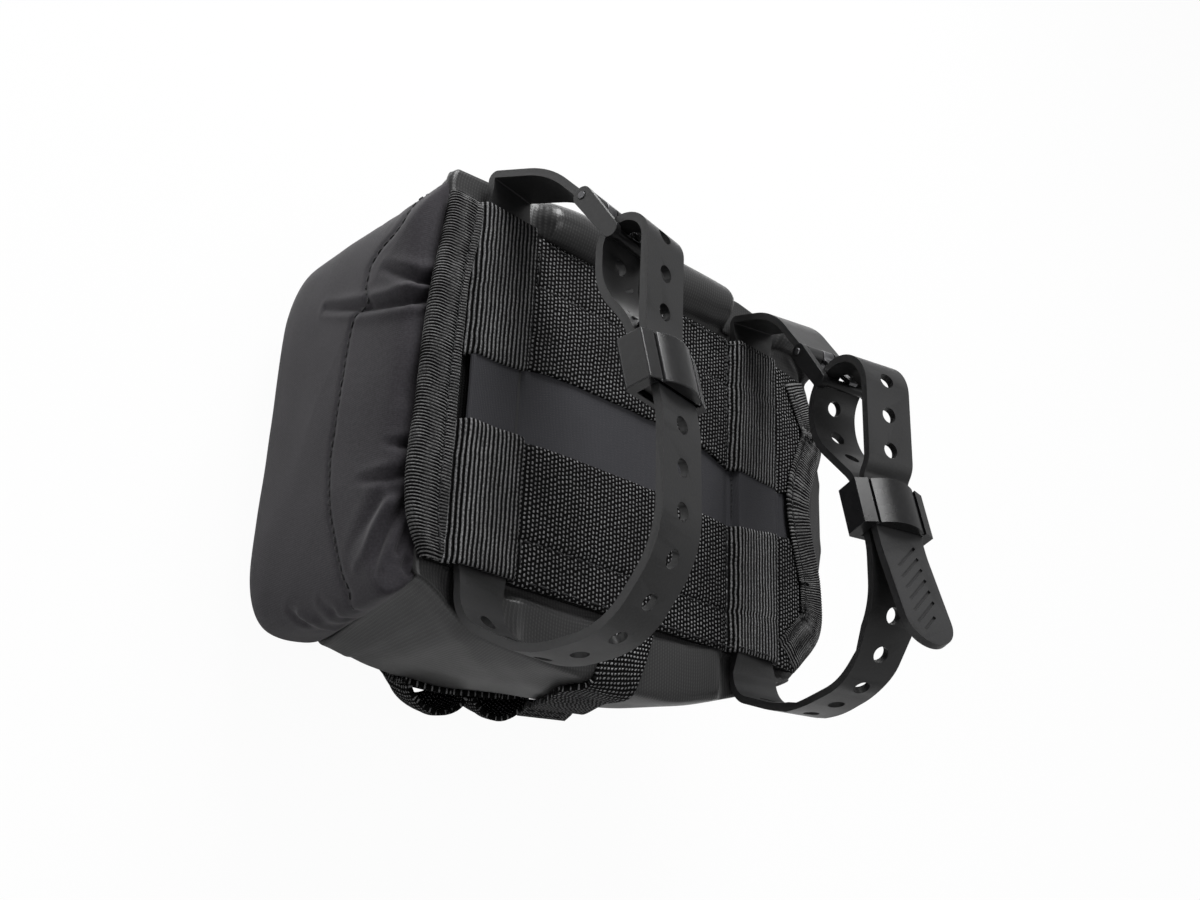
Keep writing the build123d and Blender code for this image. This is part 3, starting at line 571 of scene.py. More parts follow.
def ring(par):
    """The shell's section: points from the middle of the mount side round to the middle of the outer side."""
    wt, wo, zt, dep, rt, ro = par[2:8]
    flat = min(HALF, wt - 7.5)
    pts = [(0, BASE), (flat * 0.5, BASE), (flat, BASE)]
    gap = wt - flat
    pts += [(flat + gap * 0.10, BASE + (zt - BASE) * 0.42), (flat + gap * 0.30, zt - (zt - BASE) * 0.16),
            (flat + gap * 0.52, zt), (flat + gap * 0.76, zt - rt * 0.17), (flat + gap * 0.94, zt - rt * 0.55),
            (wt, zt - rt * 1.05)]
    knee = -dep + ro
    top = zt - rt * 1.05
    for f in (0.2, 0.4, 0.6, 0.8):
        z = top + (knee - top) * f
        pts.append((wt + (wo - wt) * (0.75 * f + 0.25 * f * f) + 1.6 * math.sin(math.pi * f), z))
    pts.append((wo, knee))
    for a in (20, 40, 60, 78):
        r = math.radians(a)
        pts.append((wo - ro * (1 - math.cos(r)), knee - ro * math.sin(r)))
    pts += [(wo - ro, -dep), ((wo - ro) * 0.5, -dep), (0, -dep)]
    return catmull(pts, 10)


def section(par, n=84):
    right = resample(ring(par), n)
    left = right[::-1].copy()
    left[:, 0] *= -1
    loop = np.vstack([right, left[1:-1]])
    xm, xo, dep, sway = par[[0, 1, 5, 8]]
    share = np.clip(-loop[:, 1] / dep, -0.1, 1.0)
    x = xm + (xo - xm) * share
    return np.stack([x, loop[:, 0] + sway, loop[:, 1]], 1)


def body_grid():
    s = np.concatenate([np.linspace(0, 8, 14, endpoint=False), np.linspace(8, 150, 100, endpoint=False),
                        np.linspace(150, 167, 36)])
    pars = np.stack([hermite(s, LENGTH, BODY[:, k]) for k in range(BODY.shape[1])], 1)
    return s, np.stack([section(p) for p in pars])


def strap_trough(p):
    """Where a strap leaves its tunnel it presses the filled fabric down."""
    for name, (x, lean) in LOOPS.items():
        drop = STRAP_Z - STRAP_T / 2 - STRAP_W / 2 * math.sin(math.radians(abs(lean))) - 0.55
        w = smooth(14.5, 9.0, np.abs(p[..., 0] - x)) * smooth(45.5, 48.0, np.abs(p[..., 1]))
        if name == "front":
            w = np.maximum(w, smooth(-44.5, -49.0, p[..., 0]) * smooth(46.5, 48.5, np.abs(p[..., 1])))
        over = np.maximum(p[..., 2] - drop, 0)
        p[..., 2] -= over * w
    return p


def low_shoulder(p):
    """On the -Y side the filled fabric stays below the panel and the straps."""
    w = smooth(-45.0, -47.5, p[..., 1]) * smooth(76.0, 66.0, p[..., 0])
    p[..., 2] -= w * np.maximum(p[..., 2] + 1.6, 0) * 0.85
    return p


def round_end(p):
    """The closed end falls away on the mount side, so that the panel's rear binding stands free of it."""
    p[..., 0] -= 12.5 * smooth(58.0, 92.0, p[..., 0]) * smooth(-24.0, -1.0, p[..., 2])
    p[..., 2] -= 2.0 * smooth(60.0, 84.0, p[..., 0]) * smooth(-12.0, 0.0, p[..., 2])
    return p


def flap_seat(p):
    """The panel's free rear flap lies on the shell, its binding a little lower than the panel."""
    w = smooth(46.0, 50.0, p[..., 0]) * smooth(50.5, 48.2, np.abs(p[..., 1]))
    low = BASE - 1.4
    p[..., 2] -= np.maximum(p[..., 2] - low, 0) * w
    return p


def build_shell():
    s, g = body_grid()
    g = strap_trough(flap_seat(low_shoulder(round_end(g))))
    nrm = face_normals(g, g - g.mean(axis=1, keepdims=True))
    x, y, z = g[..., 0], g[..., 1], g[..., 2]
    free = smooth(-3.5, -9.0, z)
    puff = 0.9 * fuzz(g, 34.0, 2.1) + 0.45 * fuzz(g, 15.0, 5.3)
    # shallow pulls that run from the strap anchor and from the slanted webbing
    pull = 1.1 * bump(z + 0.62 * (x + 55), -8, 4.5) * bump(x, -44, 15) * (y < 0)
    pull += 0.9 * bump(z + 0.45 * (x + 20), -18, 4.0) * bump(x, -20, 18) * (y < 0)
    pull -= 0.9 * bump(z - 0.5 * (x - 50), -22, 5.0) * bump(x, 55, 18) * (y < 0)
    pull += 0.8 * bump(z + 0.2 * x, -30, 5.0) * bump(x, 20, 25) * (y > 0)
    tail = 1.0 * fuzz(g * np.array([0.5, 1.0, 1.0]), 11.0, 8.0) * smooth(40, 85, x)
    flat = smooth(-81.0, -76.0, z)
    d = free * (puff * 0.8 + pull + tail) * flat
    g = g + nrm * d[..., None]
    g[..., 2] = np.maximum(g[..., 2], REST_Z)
    # hem: the coated fabric is folded and sewn round the mouth, and the cover draws its -Y side in
    hem = smooth(9.0, 8.2, s)[:, None] * free
    g = g + nrm * (0.45 * hem)[..., None]
    draw = 6.0 * smooth(16.0, 0.0, s)[:, None] * smooth(-80.0, -20.0, g[..., 2]) * smooth(-20, -50, g[..., 1])
    g[..., 1] += draw * smooth(1.5, -4.0, g[..., 2])
    tilt = math.atan2(SETBACK, MOUTH_DEPTH)
    mouth_out = np.array([-math.cos(tilt), 0, -math.sin(tilt)])
    roll = [g[0] - nrm[0] * 1.3 * (1 - math.cos(a)) + mouth_out * 1.3 * math.sin(a)
            for a in np.radians([170, 140, 110, 80, 50, 25])]
    g = np.concatenate([np.stack(roll), g])
    rows, n = g.shape[:2]
    arc = run_length(g.mean(axis=1))
    around = np.linalg.norm(np.diff(np.concatenate([g[:, -1:], g], axis=1), axis=1), axis=2)
    around = np.cumsum(around, axis=1)
    around -= around[:, :1]
    uv = np.stack([np.broadcast_to(arc[:, None], around.shape), around], -1) * MM
    verts = g.reshape(-1, 3)
    faces = grid_faces(rows, n, wrap=True)
    # closed end: two shrinking rings and a tip
    last, base = g[-1], (rows - 1) * n
    mid = last.mean(axis=0)
    extra, extra_uv = [], []
    for k, push in ((0.66, 1.6), (0.3, 2.4)):
        extra.append(mid + (last - mid) * k + np.array([push, 0, -push * 0.6]))
        extra_uv.append(uv[-1] + np.array([(1 - k) * 0.008, 0]))
    verts = np.vstack([verts] + extra + [mid + np.array([[2.7, 0, -1.8]])])
    uvs = np.vstack([uv.reshape(-1, 2)] + extra_uv + [uv[-1, :1]])
    for k in range(2):
        a, b = base + k * n, base + (k + 1) * n
        faces += [(a + j, a + (j + 1) % n, b + (j + 1) % n, b + j) for j in range(n)]
    tip = base + 3 * n
    faces += [(base + 2 * n + j, base + 2 * n + (j + 1) % n, tip) for j in range(n)]
    ob = mesh_object("shell_fabric", verts, faces, uvs)
    recalc_normals(ob)
    thicken(ob, 1.2)
    return dress(ob, "bag", MAT["shell"], ["body_shell", "closed_end"]), g


shell, shell_grid = build_shell()


# ---------------------------------------------------------------- mouth cover
# share of the way out, out at the mounting side, out at the outer side, growth to +Y, to -Y, outward, top
LAYERS = np.array([
    (0.0, -0.3, -0.3, -2.2, -2.2, -2.2, 0.0),
    (1.0, 0.9, 1.3, -1.8, -0.9, -1.0, 0.0),
    (2.0, 2.6, 6.0, -2.2, 1.2, 0.2, -0.1),
    (3.0, 5.2, 13.5, -3.0, 1.6, 0.6, -0.5),
    (4.0, 7.6, 20.0, -4.2, 0.8, -0.6, -1.4),
    (5.0, 9.2, 24.2, -6.8, -2.2, -3.4, -3.2),
    (6.0, 10.3, 26.6, -12.5, -8.0, -8.6, -7.0),
    (7.0, 10.9, 27.9, -21.0, -16.5, -16.5, -13.0),
    (8.0, 11.3, 28.6, -31.0, -27.0, -26.0, -22.0),
])
# creases in the stretch fabric: places, depth in mm (raised where negative), width in mm, share at start and end
CREASES = [
    ([(-74.9,22.5,-4.0),(-78.5,21.8,-4.9),(-80.6,22.9,-7.3),(-81.4,25.3,-11.5),
        (-81.5,28.4,-16.7)], 3.0, 1.6, 1.0, 0.1),
    ([(-74.5,18.2,-3.9),(-78.5,16.6,-4.8),(-80.9,16.1,-7.8),(-81.6,17.1,-13.8),(-81.5,18.8,-20.4),
        (-81.2,21.2,-27.6),(-80.5,24.0,-35.5),(-79.8,27.4,-44.1)], 3.2, 1.5, 1.0, 0.15),
    ([(-74.1,14.0,-3.8),(-76.7,12.8,-4.2),(-78.7,11.1,-4.8)], 1.2, 1.6, 1.0, 0.0),
    ([(-76.2,-20.9,-4.4),(-78.8,-21.3,-5.3),(-80.3,-21.1,-7.2),(-81.0,-20.1,-9.5)], 2.2, 1.3, 1.0, 0.0),
    ([(-75.7,-27.7,-4.3),(-78.5,-28.8,-5.2),(-80.5,-29.4,-7.4),(-81.4,-29.0,-11.9),
        (-81.6,-28.0,-18.4)], 2.2, 1.5, 1.0, 0.0),
    ([(-75.6,-32.8,-4.4),(-77.1,-32.4,-4.7),(-78.4,-32.9,-5.2)], 2.6, 1.9, 1.0, 0.5),
    ([(-77.1,-32.6,-4.7),(-79.1,-36.1,-5.6),(-80.3,-39.7,-7.0),(-81.0,-43.5,-9.1),(-81.4,-46.9,-11.4),
        (-80.9,-49.2,-14.5)], -1.5, 2.1, 0.8, 0.2),
    ([(-76.5,-35.9,-4.6),(-78.3,-38.4,-5.1),(-79.6,-41.4,-5.9),(-80.3,-44.9,-6.8),(-80.7,-48.6,-7.5),
        (-80.6,-51.4,-7.5)], 2.0, 1.7, 1.0, 0.1),
    ([(-79.4,-32.1,-5.8),(-80.7,-34.8,-8.1),(-81.3,-38.1,-11.2),(-81.5,-41.6,-14.0),
        (-81.2,-44.5,-16.9)], 1.0, 2.2, 1.0, 0.2),
    ([(-75.8,-37.9,-4.4),(-77.2,-40.6,-4.7),(-78.5,-43.9,-5.0),(-79.3,-47.3,-5.5),
        (-79.7,-50.5,-5.9)], -1.1, 1.5, 0.8, 0.2),
    ([(-75.5,-40.9,-4.3),(-76.3,-43.4,-4.3),(-77.1,-47.1,-4.5)], 1.5, 0.8, 0.6, 0.4),
    ([(-74.6,-48.2,-4.0),(-75.2,-50.0,-4.1),(-73.7,-51.2,-3.9),(-72.5,-50.2,-3.9)], 0.9, 0.8, 1.0, 0.6),
    ([(-70.9,-46.8,-3.8),(-71.3,-48.3,-3.8)], 0.8, 0.7, 1.0, 0.5),
    ([(-76.5,-54.9,-41.9),(-75.4,-57.2,-36.7),(-68.0,-56.7,-39.3)], -0.9, 1.8, 0.6, 1.0),
    ([(-78.5,-54.1,-30.8),(-77.5,-56.9,-26.8),(-72.2,-57.5,-27.9)], 0.8, 1.5, 0.3, 1.0),
    ([(-76.8,-52.9,-47.0),(-76.0,-55.1,-44.3),(-74.8,-56.8,-41.9)], 0.7, 1.3, 0.4, 1.0),
    ([(-73.7,-1.1,-3.7),(-76.4,-5.6,-4.2),(-77.9,-9.1,-4.7),(-76.4,-10.2,-4.2)], 1.1, 3.0, 1.0, 0.3),
    ([(-72.0,52.0,-9.0),(-76.0,46.0,-13.0),(-79.0,40.0,-18.0)], 1.6, 1.5, 1.0, 0.1),
    ([(-68.5,55.0,-20.0),(-73.0,51.0,-24.0),(-77.0,46.0,-29.0)], 1.3, 1.6, 1.0, 0.1),
    ([(-65.0,56.0,-34.0),(-70.0,54.0,-37.0),(-75.0,50.0,-42.0)], 1.1, 1.7, 1.0, 0.1),
    ([(-60.0,55.5,-50.0),(-66.0,55.0,-52.0),(-72.0,52.0,-56.0)], 1.2, 1.5, 1.0, 0.1),
    ([(-54.0,48.0,-68.0),(-60.0,47.0,-71.0),(-68.0,44.0,-74.0)], 1.0, 1.6, 1.0, 0.1),
    ([(-50.0,30.0,-76.0),(-57.0,30.0,-77.0),(-66.0,29.0,-77.0)], 0.9, 1.5, 1.0, 0.1),
    ([(-50.0,6.0,-76.5),(-58.0,7.0,-77.5),(-67.0,8.0,-77.0)], 1.0, 1.5, 1.0, 0.1),
    ([(-50.0,-18.0,-76.5),(-57.0,-17.0,-77.5),(-66.0,-15.0,-77.0)], 0.9, 1.5, 1.0, 0.1),
    ([(-51.0,-38.0,-74.5),(-57.0,-37.0,-76.0),(-66.0,-34.0,-77.0)], 1.2, 1.5, 1.0, 0.1),
]
STITCHED = [(-70.5,53.5,-8.0),(-75.5,47.0,-9.5),(-78.8,43.0,-11.0),(-80.6,39.8,-12.0),(-80.9,37.5,-15.0),
        (-80.8,35.8,-19.4),(-80.8,33.4,-22.3),(-80.9,31.5,-24.0),(-81.1,28.2,-23.9),(-81.2,25.3,-24.0),
        (-81.4,21.6,-21.9),(-81.4,20.1,-21.6),(-81.3,19.3,-24.9),(-81.2,17.5,-27.6),(-81.2,15.2,-28.5),
        (-81.2,8.2,-29.2),(-81.3,1.4,-29.5),(-81.4,-4.7,-29.8),(-81.3,-10.8,-30.0),(-81.2,-15.6,-30.4),
        (-81.1,-19.5,-30.5),(-81.2,-25.1,-29.7),(-81.3,-30.3,-28.5),(-81.1,-35.6,-26.8),(-81.0,-40.4,-24.8),
        (-80.7,-46.1,-22.5),(-80.2,-50.4,-20.7),(-79.5,-54.4,-18.2),(-75.9,-57.8,-19.6)]


def plane_x(out_top, out_low, z):
    share = np.clip(-z / MOUTH_DEPTH, 0, 1.08)
    return MOUTH_X + SETBACK * share - (out_top + (out_low - out_top) * share)


def cover_layers():
    """Rings of the puffed cover from the lip to the middle of its front."""
    rim = section(BODY[0], 200)
    y, z = rim[:, 1] - BODY[0][8], np.minimum(rim[:, 2], -3.7)
    rows = []
    for u in np.concatenate([np.linspace(0, 2, 16, endpoint=False), np.linspace(2, 8, 66)]):
        top_out, low_out, gp, gm, gl, gt = (float(hermite(u, LAYERS[:, 0], LAYERS[:, k])) for k in range(1, 7))
        pull = 9.5 * np.clip(1 + z / 72.0, 0, 1) * float(smooth(0.5, 5.0, u))
        lip = 6.0 * smooth(-80.0, -20.0, z) * float(smooth(5.0, 0.0, u))
        half = np.where(y > 0, 1 + gp / 57.0, 1 + gm / 57.0)
        yy = y * half
        yy = yy - pull * smooth(10, 50, yy) + lip * smooth(-20, -52, yy)
        zz = np.where(z < -40, -40 + (z + 40) * (1 + gl / 37.0), -40 + (z + 40) * (1 + gt / 37.0))
        rows.append(np.stack([plane_x(top_out, low_out, zz), yy, zz], -1))
    g = np.stack(rows)
    last = g[-1]
    mid = np.array([last[:, 0].mean() - 0.4, last[:, 1].mean(), -41.0])
    inner = [mid + (last - mid) * k for k in np.linspace(0.96, 0.03, 44)]
    g = np.vstack([g, np.stack(inner)])
    for _ in range(14):
        soften(g)
        g[2:] = (np.roll(g[2:], 1, axis=1) + 2 * g[2:] + np.roll(g[2:], -1, axis=1)) / 4
    return g


def along(g, line):
    """Distance from each place to a line of places, and how far along it the nearest one is (0 to 1)."""
    line = np.asarray(line, float)
    best = np.full(g.shape[:2], 1e9)
    share = np.zeros(g.shape[:2])
    seg = np.linalg.norm(np.diff(line, axis=0), axis=1)
    at = np.concatenate([[0], np.cumsum(seg)]) / seg.sum()
    for k in range(len(line) - 1):
        a, b = line[k], line[k + 1]
        t = np.clip(((g - a) @ (b - a)) / (seg[k] ** 2 + 1e-9), 0, 1)
        d = np.linalg.norm(g - (a + t[..., None] * (b - a)), axis=2)
        near = d < best
        best = np.where(near, d, best)
        share = np.where(near, at[k] + t * (at[k + 1] - at[k]), share)
    return best, share


def gather(g, nrm):
    d = 0.5 * fuzz(g, 38.0, 3.3) + 0.22 * fuzz(g, 15.0, 9.1)
    for line, deep, wide, start, end in CREASES:
        dist, share = along(g, line)
        size = start + (end - start) * share
        w = wide * (0.6 + 0.4 * size)
        d -= deep * size * np.exp(-(dist / w) ** 2)
        d += 0.28 * deep * size * np.exp(-((dist - 2.1 * w) / (1.3 * w)) ** 2)
    d -= 0.45 * np.exp(-(along(g, STITCHED)[0] / 1.2) ** 2)
    return g + nrm * d[..., None]


def build_cover():
    g = cover_layers()
    nrm = face_normals(g, g - np.array([-45.0, 0, -38.0]))
    g = gather(g, nrm)
    g[..., 2] = np.maximum(g[..., 2], -81.4)
    rows, n = g.shape[:2]
    uv = np.stack([g[..., 1], g[..., 2] - 0.4 * g[..., 0]], -1) * MM
    verts = np.vstack([g.reshape(-1, 3), g[-1].mean(axis=0, keepdims=True)])
    uvs = np.vstack([uv.reshape(-1, 2), uv[-1].mean(axis=0, keepdims=True)])
    faces = grid_faces(rows, n, wrap=True)
    faces += [((rows - 1) * n + j, (rows - 1) * n + (j + 1) % n, rows * n) for j in range(n)]
    ob = mesh_object("cover_softshell", verts, faces, uvs)
    recalc_normals(ob)
    turn_faces(ob, 0, -1)
    thicken(ob, 1.2)
    dress(ob, "mouth_cover", MAT["soft"], ["cover"])
    return g, nrm


cover_grid, cover_nrm = build_cover()


def cover_line(points, n):
    """Places on the finished cover, and their normals, nearest to a line of places."""
    places = cover_grid.reshape(-1, 3)
    found = [int(np.argmin(((places - q) ** 2).sum(axis=1))) for q in resample(catmull(points, 8), n)]
    c, m = places[found], cover_nrm.reshape(-1, 3)[found]
    for _ in range(6):
        soften(c, m)
    return c + m * 0.1, m


threads("cover_stitches", [cover_line(STITCHED, 220)], 0.3, "mouth_cover", MAT["thread"],
        1.9, 0.75, 0.16)


def tube(name, points, radius, body, material, replaces, sides=10):
    """A round cord that closes on itself, through places in mm."""
    p = np.asarray(points, float)
    tangent = np.roll(p, -1, axis=0) - np.roll(p, 1, axis=0)
    tangent /= np.linalg.norm(tangent, axis=1)[:, None]
    first = np.cross(tangent, np.array([0.3, 0.2, 1.0]))
    first /= np.linalg.norm(first, axis=1)[:, None]
    second = np.cross(tangent, first)
    a = np.linspace(0, 2 * math.pi, sides, endpoint=False)
    g = p[:, None] + radius * (np.cos(a)[None, :, None] * first[:, None] + np.sin(a)[None, :, None] * second[:, None])
    rows = len(p)
    end = (rows - 1) * sides
    faces = grid_faces(rows, sides, wrap=True)
    faces += [(end + j, end + (j + 1) % sides, (j + 1) % sides, j) for j in range(sides)]
    uv = np.stack(np.broadcast_arrays(run_length(p)[:, None], a * radius), -1) * MM
    dress(mesh_object(name, g, faces, uv), body, material, replaces)


# the elastic cord at the cover's seam, just inside the coated lip
seam_ring = cover_grid[1] - cover_nrm[1] * 0.3
tube("elastic_cord", seam_ring[::3], 0.75, "mouth_cover", MAT["elastic"], ["cover_elastic"])


# ---------------------------------------------------------------- webbing mount panel
FRONT_EDGE = ([-HALF, -35.6, -11.9, 17.6, HALF], [4.6, -0.9, -1.1, 0.2, 3.2])
REAR_EDGE = ([-HALF, -34.2, -19.0, 4.8, 28.5, HALF], [-15.0, -2.0, -1.0, -8.0, 0.6, -7.5])


def natural(y, table):
    """Catmull curve through the edge's places across the bag."""
    ys, xs = table
    c = catmull(np.stack([ys, xs], 1), 24)
    return np.interp(y, c[:, 0], c[:, 1])


def front_x(y):
    return FRONT_X + natural(y, FRONT_EDGE)


def rear_x(y):
    return FRONT_X + PANEL + natural(y, REAR_EDGE)


def rise(x, height=2.45, slack=8.5, run=2.2):
    """How far the webbing stands up over the two strap tunnels."""
    return sum(height * smooth(slack + run, slack - 0.6, np.abs(x - c)) for c in TUNNELS)


def inner_edge(x, upper):
    if upper:
        return hermite(x, [-78, -66, -50, -46.5, -30, 0, 20, 33, 50, 60, 78],
                       [5.2, 4.9, 5.6, 8.0, 9.8, 10.2, 9.0, 5.8, 4.8, 6.2, 7.0])
    return -hermite(x, [-78, -66, -50, -30, 0, 20, 35, 50, 62, 78],
                    [11.4, 12.0, 11.6, 10.6, 10.2, 10.8, 11.3, 9.2, 7.6, 7.4])


def flap_droop(x, y):
    """The free rear flap hangs and curls a little away from the shell."""
    w = smooth(50, 74, x)
    return w * (0.9 * np.sin(0.09 * y + 0.6) - 1.1 * (y / HALF) ** 2 + 0.2)


def band_height(x, y):
    """Outer face of the bands, mm."""
    z = rise(x)
    sign = np.sign(y)
    p = np.stack([x, y, 0 * x], -1)
    z += 0.22 * fuzz(p, 26.0, 4.4) + 0.12 * fuzz(p, 9.0, 6.1)
    # rows sewn across the tape at both sides of each tunnel
    for c, d in ((-67.4, 0.7), (-46.2, 0.55), (32.0, 0.6), (54.2, 0.5)):
        z -= d * bump(x + 0.15 * fuzz(p, 5.0, 2.0), c, 1.3)
    # a row sewn along the tape, which draws its outer part down
    line = 36.3 - 3.6 * (sign > 0)
    mid = smooth(-47, -44.5, x) * smooth(34.5, 32.0, x)
    z -= mid * (0.42 * bump(np.abs(y), line, 0.9) + 0.16 * smooth(line, line + 1.5, np.abs(y)))
    # selvedges
    edge_in = np.abs(y - inner_edge(x, True) * (sign > 0) - inner_edge(x, False) * (sign < 0))
    z -= 0.25 * smooth(1.2, 0.0, edge_in) + 0.25 * smooth(1.2, 0.0, HALF - np.abs(y))
    z += 0.35 * smooth(-47, -40, x) * smooth(30, 20, x) * bump(np.abs(y), 22, 14)
    return z + flap_droop(x, y)


def tape_mesh(name, g, uv, side, thickness, material, replaces):
    """A tape on the bag from a grid of its outer face, in mm; side is the axis, sign and height it is turned by."""
    ob = mesh_object(name, g, grid_faces(*g.shape[:2]), uv)
    turn_faces(ob, *side)
    thicken(ob, thickness)
    return dress(ob, "bag", material, replaces)


def sheet_mesh(name, x, y, z, material, thickness, replaces):
    """A tape of the panel from its outer face down; x, y, z are grids in mm."""
    g = np.stack([x, y, z], -1)
    arc = np.concatenate([np.zeros_like(x[:1]), np.cumsum(np.linalg.norm(np.diff(g, axis=0), axis=2), axis=0)])
    arc += x[:1] - x.min()
    ob = tape_mesh(name, g, np.stack([arc, y], -1) * MM, (2, 1), thickness, material, replaces)


def build_band(upper):
    sign = 1 if upper else -1
    rows, n = 300, 64
    t = np.linspace(0, 1, rows)[:, None]
    s = np.linspace(0, 1, n)[None, :]
    xx = FRONT_X + PANEL * t + 0 * s
    inn = inner_edge(xx, upper)
    wob = 0.25 * fuzz(np.stack([xx, 0 * xx + 40 * sign, 0 * xx], -1), 12.0, 3.0)
    out = sign * HALF + wob * 0.6 * smooth(-64, -60, xx)
    yy = inn + (out - inn) * s
    f, r = front_x(yy) + 1.3, rear_x(yy) - 1.3
    xx = f + (r - f) * t
    inn = inner_edge(xx, upper) + 0.18 * fuzz(np.stack([xx, 0 * xx, 0 * xx + sign], -1), 6.0, 5.0)
    yy = inn + (out - inn) * s
    zz = band_height(xx, yy)
    name = "upper_band" if upper else "lower_band"
    sheet_mesh(name + "_woven", xx, yy, zz, MAT["band"], 1.5, [name])


build_band(True)
build_band(False)


def build_label():
    """The smooth bare tape: from a dark slot it steps down behind the front tunnel and dips at the rear one."""
    xs = np.concatenate([np.linspace(-65.6, -44, 90), np.linspace(-43.5, 30, 60), np.linspace(30.4, 64.0, 110)])
    s = np.linspace(0, 1, 26)[None, :]
    xx = xs[:, None] + 0 * s
    lo, hi = inner_edge(xx, False) - 1.6, inner_edge(xx, True) + 1.6
    yy = lo + (hi - lo) * s
    zz = -1.0 + 2.7 * smooth(-50.2, -50.9, xx) + 0.25 * smooth(-44.0, -48.0, xx) * smooth(-50.2, -49.8, xx)
    zz += 2.9 * smooth(34.2, 34.9, xx) * smooth(57.0, 50.2, xx)
    zz -= 0.5 * bump(xx, 32.6, 1.3)
    p = np.stack([xx, yy, 0 * xx], -1)
    zz += 0.16 * fuzz(p, 20.0, 7.7)
    zz = np.minimum(zz, band_height(xx, np.where(yy > 0, hi, lo)) - 0.35)
    zz += flap_droop(xx, yy) * 0.4
    xx = np.where(xx > 55, np.minimum(xx, rear_x(yy) - 7.0), xx)
    sheet_mesh("label_smooth", xx, yy, zz, MAT["label"], 0.5, ["label_tape"])


build_label()


def facing_up(points):
    """A row of stitches on the panel: its places and their normals."""
    return points, np.tile([0, 0, 1.0], (len(points), 1))


# stitches beside the label's two steps
label_rows = [facing_up(np.array([(x, y, -1.0 + 0.35) for y in np.linspace(-8.6, 8.0, 30)])) for x in (-48.6, 34.0)]
threads("label_stitches", label_rows, 0.16, "bag", MAT["thread"], 0.9, 0.7, 0.08)


def build_backing():
    t = np.linspace(0, 1, 180)[:, None]
    yy = np.linspace(-HALF, HALF, 60)[None, :] + 0 * t
    f, r = front_x(yy) + 1.1, rear_x(yy) - 1.1
    xx = f + (r - f) * t
    sheet_mesh("backing_cloth", xx, yy, -1.62 + flap_droop(xx, yy), MAT["backing"], 0.75, ["mount_backing"])


build_backing()


# ---------------------------------------------------------------- bindings
RIB_PITCH = 0.82


def build_binding(front):
    """Ribbed tape folded over the panel's edge and sewn through, with its ribs modelled."""
    width = 9.6 if front else 11.4
    step = 0.18
    y = np.arange(-HALF, HALF + step, step)
    edge = front_x(y) if front else rear_x(y)
    into = 1.0 if front else -1.0
    # direction into the panel, square to the edge
    slope = np.gradient(edge, y)
    nx, ny = into / np.sqrt(1 + slope ** 2), -into * slope / np.sqrt(1 + slope ** 2)
    if front:
        nx, ny = np.ones_like(y), np.zeros_like(y)
    s = np.concatenate([[0], np.cumsum(np.hypot(np.diff(edge), np.diff(y)))])
    low, high = -3.35, 1.0
    # profile from the inner edge of the top, round the fold, to the underside: distance in, height
    fold = np.linspace(0, math.pi, 15)[1:-1]
    d = np.concatenate([np.linspace(1, 0.22, 15), 0.22 * (1 - np.sin(fold)), np.linspace(0.22, 0.62, 8)])
    prof_d = d * width
    half = (high - low) / 2
    z = np.concatenate([np.full(15, high), low + half + half * np.cos(fold), np.full(8, low)])
    around = np.concatenate([[0], np.cumsum(np.hypot(np.diff(prof_d), np.diff(z)))])
    yy = np.broadcast_to(y[:, None], (len(y), len(d)))
    dd = np.broadcast_to(prof_d, yy.shape).copy()
    if front:
        reach = (-68.0 + 3.6 * smooth(20, HALF, yy)) - edge[:, None]
        dd *= reach / width
    zz = np.broadcast_to(z, yy.shape).copy()
    p = np.stack([yy * 0, yy, np.broadcast_to(around, yy.shape)], -1)
    swell = 0.45 * fuzz(p, 17.0, 1.3 + into)
    skew = 0.16 * np.maximum(around[18] - around, 0)[None, :] * into
    phase = 2 * math.pi * (s[:, None] + skew + 0.35 * fuzz(p, 8.0, 2.0)) / RIB_PITCH
    seam = width - (2.1 if front else 2.4)
    sew = bump(dd, seam, 0.5) * (zz > 0)
    rib = (0.5 + 0.5 * np.sin(phase)) * (1 - 0.6 * sew)
    amp = 0.2 * rib - 0.42 * sew + swell * smooth(-0.5, 0.2, (seam - dd) / width) * 0.6
    onz = np.clip((zz - (low + half)) / half, -1, 1)
    flat = np.abs(onz) > 0.999
    nz = np.where(flat, np.sign(onz), onz)
    nd = np.where(flat, 0.0, -np.sqrt(np.clip(1 - onz ** 2, 0, 1)))
    dd = dd + nd * amp
    zz = zz + nz * amp
    zz[:, :1] -= 0.5
    x = edge[:, None] + nx[:, None] * dd
    yv = np.clip(yy + ny[:, None] * dd, -48.3, 48.3)
    zz = zz + flap_droop(x, yv)
    ends = smooth(0, 2.0, yy + HALF) * smooth(0, 2.0, HALF - yy)
    mid = low + half
    zz = mid + (zz - mid) * (0.62 + 0.38 * ends)
    uv = np.stack(np.broadcast_arrays(around, s[:, None]), -1) * MM
    g = np.stack([x, yv, zz], -1)
    name = ("front" if front else "rear") + "_binding"
    ob = tape_mesh(name + "_ribbed", g, uv, (2, 1, 0), 0.8, MAT["bind"], [name])
    # the row of stitches through the fold
    k = int(np.argmin(np.abs(dd[len(y) // 2, :15] - seam)))
    return facing_up(g[8:-8:5, k] + np.array([0, 0, 0.12]))


threads("binding_stitches", [build_binding(True), build_binding(False)], 0.24, "bag", MAT["thread"],
        2.3, 0.8, 0.14)


def panel_line(*points, step=0.8):
    """Stitch places that follow the webbing's outer face."""
    p = resample(points, max(int(np.hypot(*np.subtract(points[-1], points[0])) / step), 4))
    return facing_up(np.column_stack([p, band_height(p[:, 0], p[:, 1]) + 0.05]))


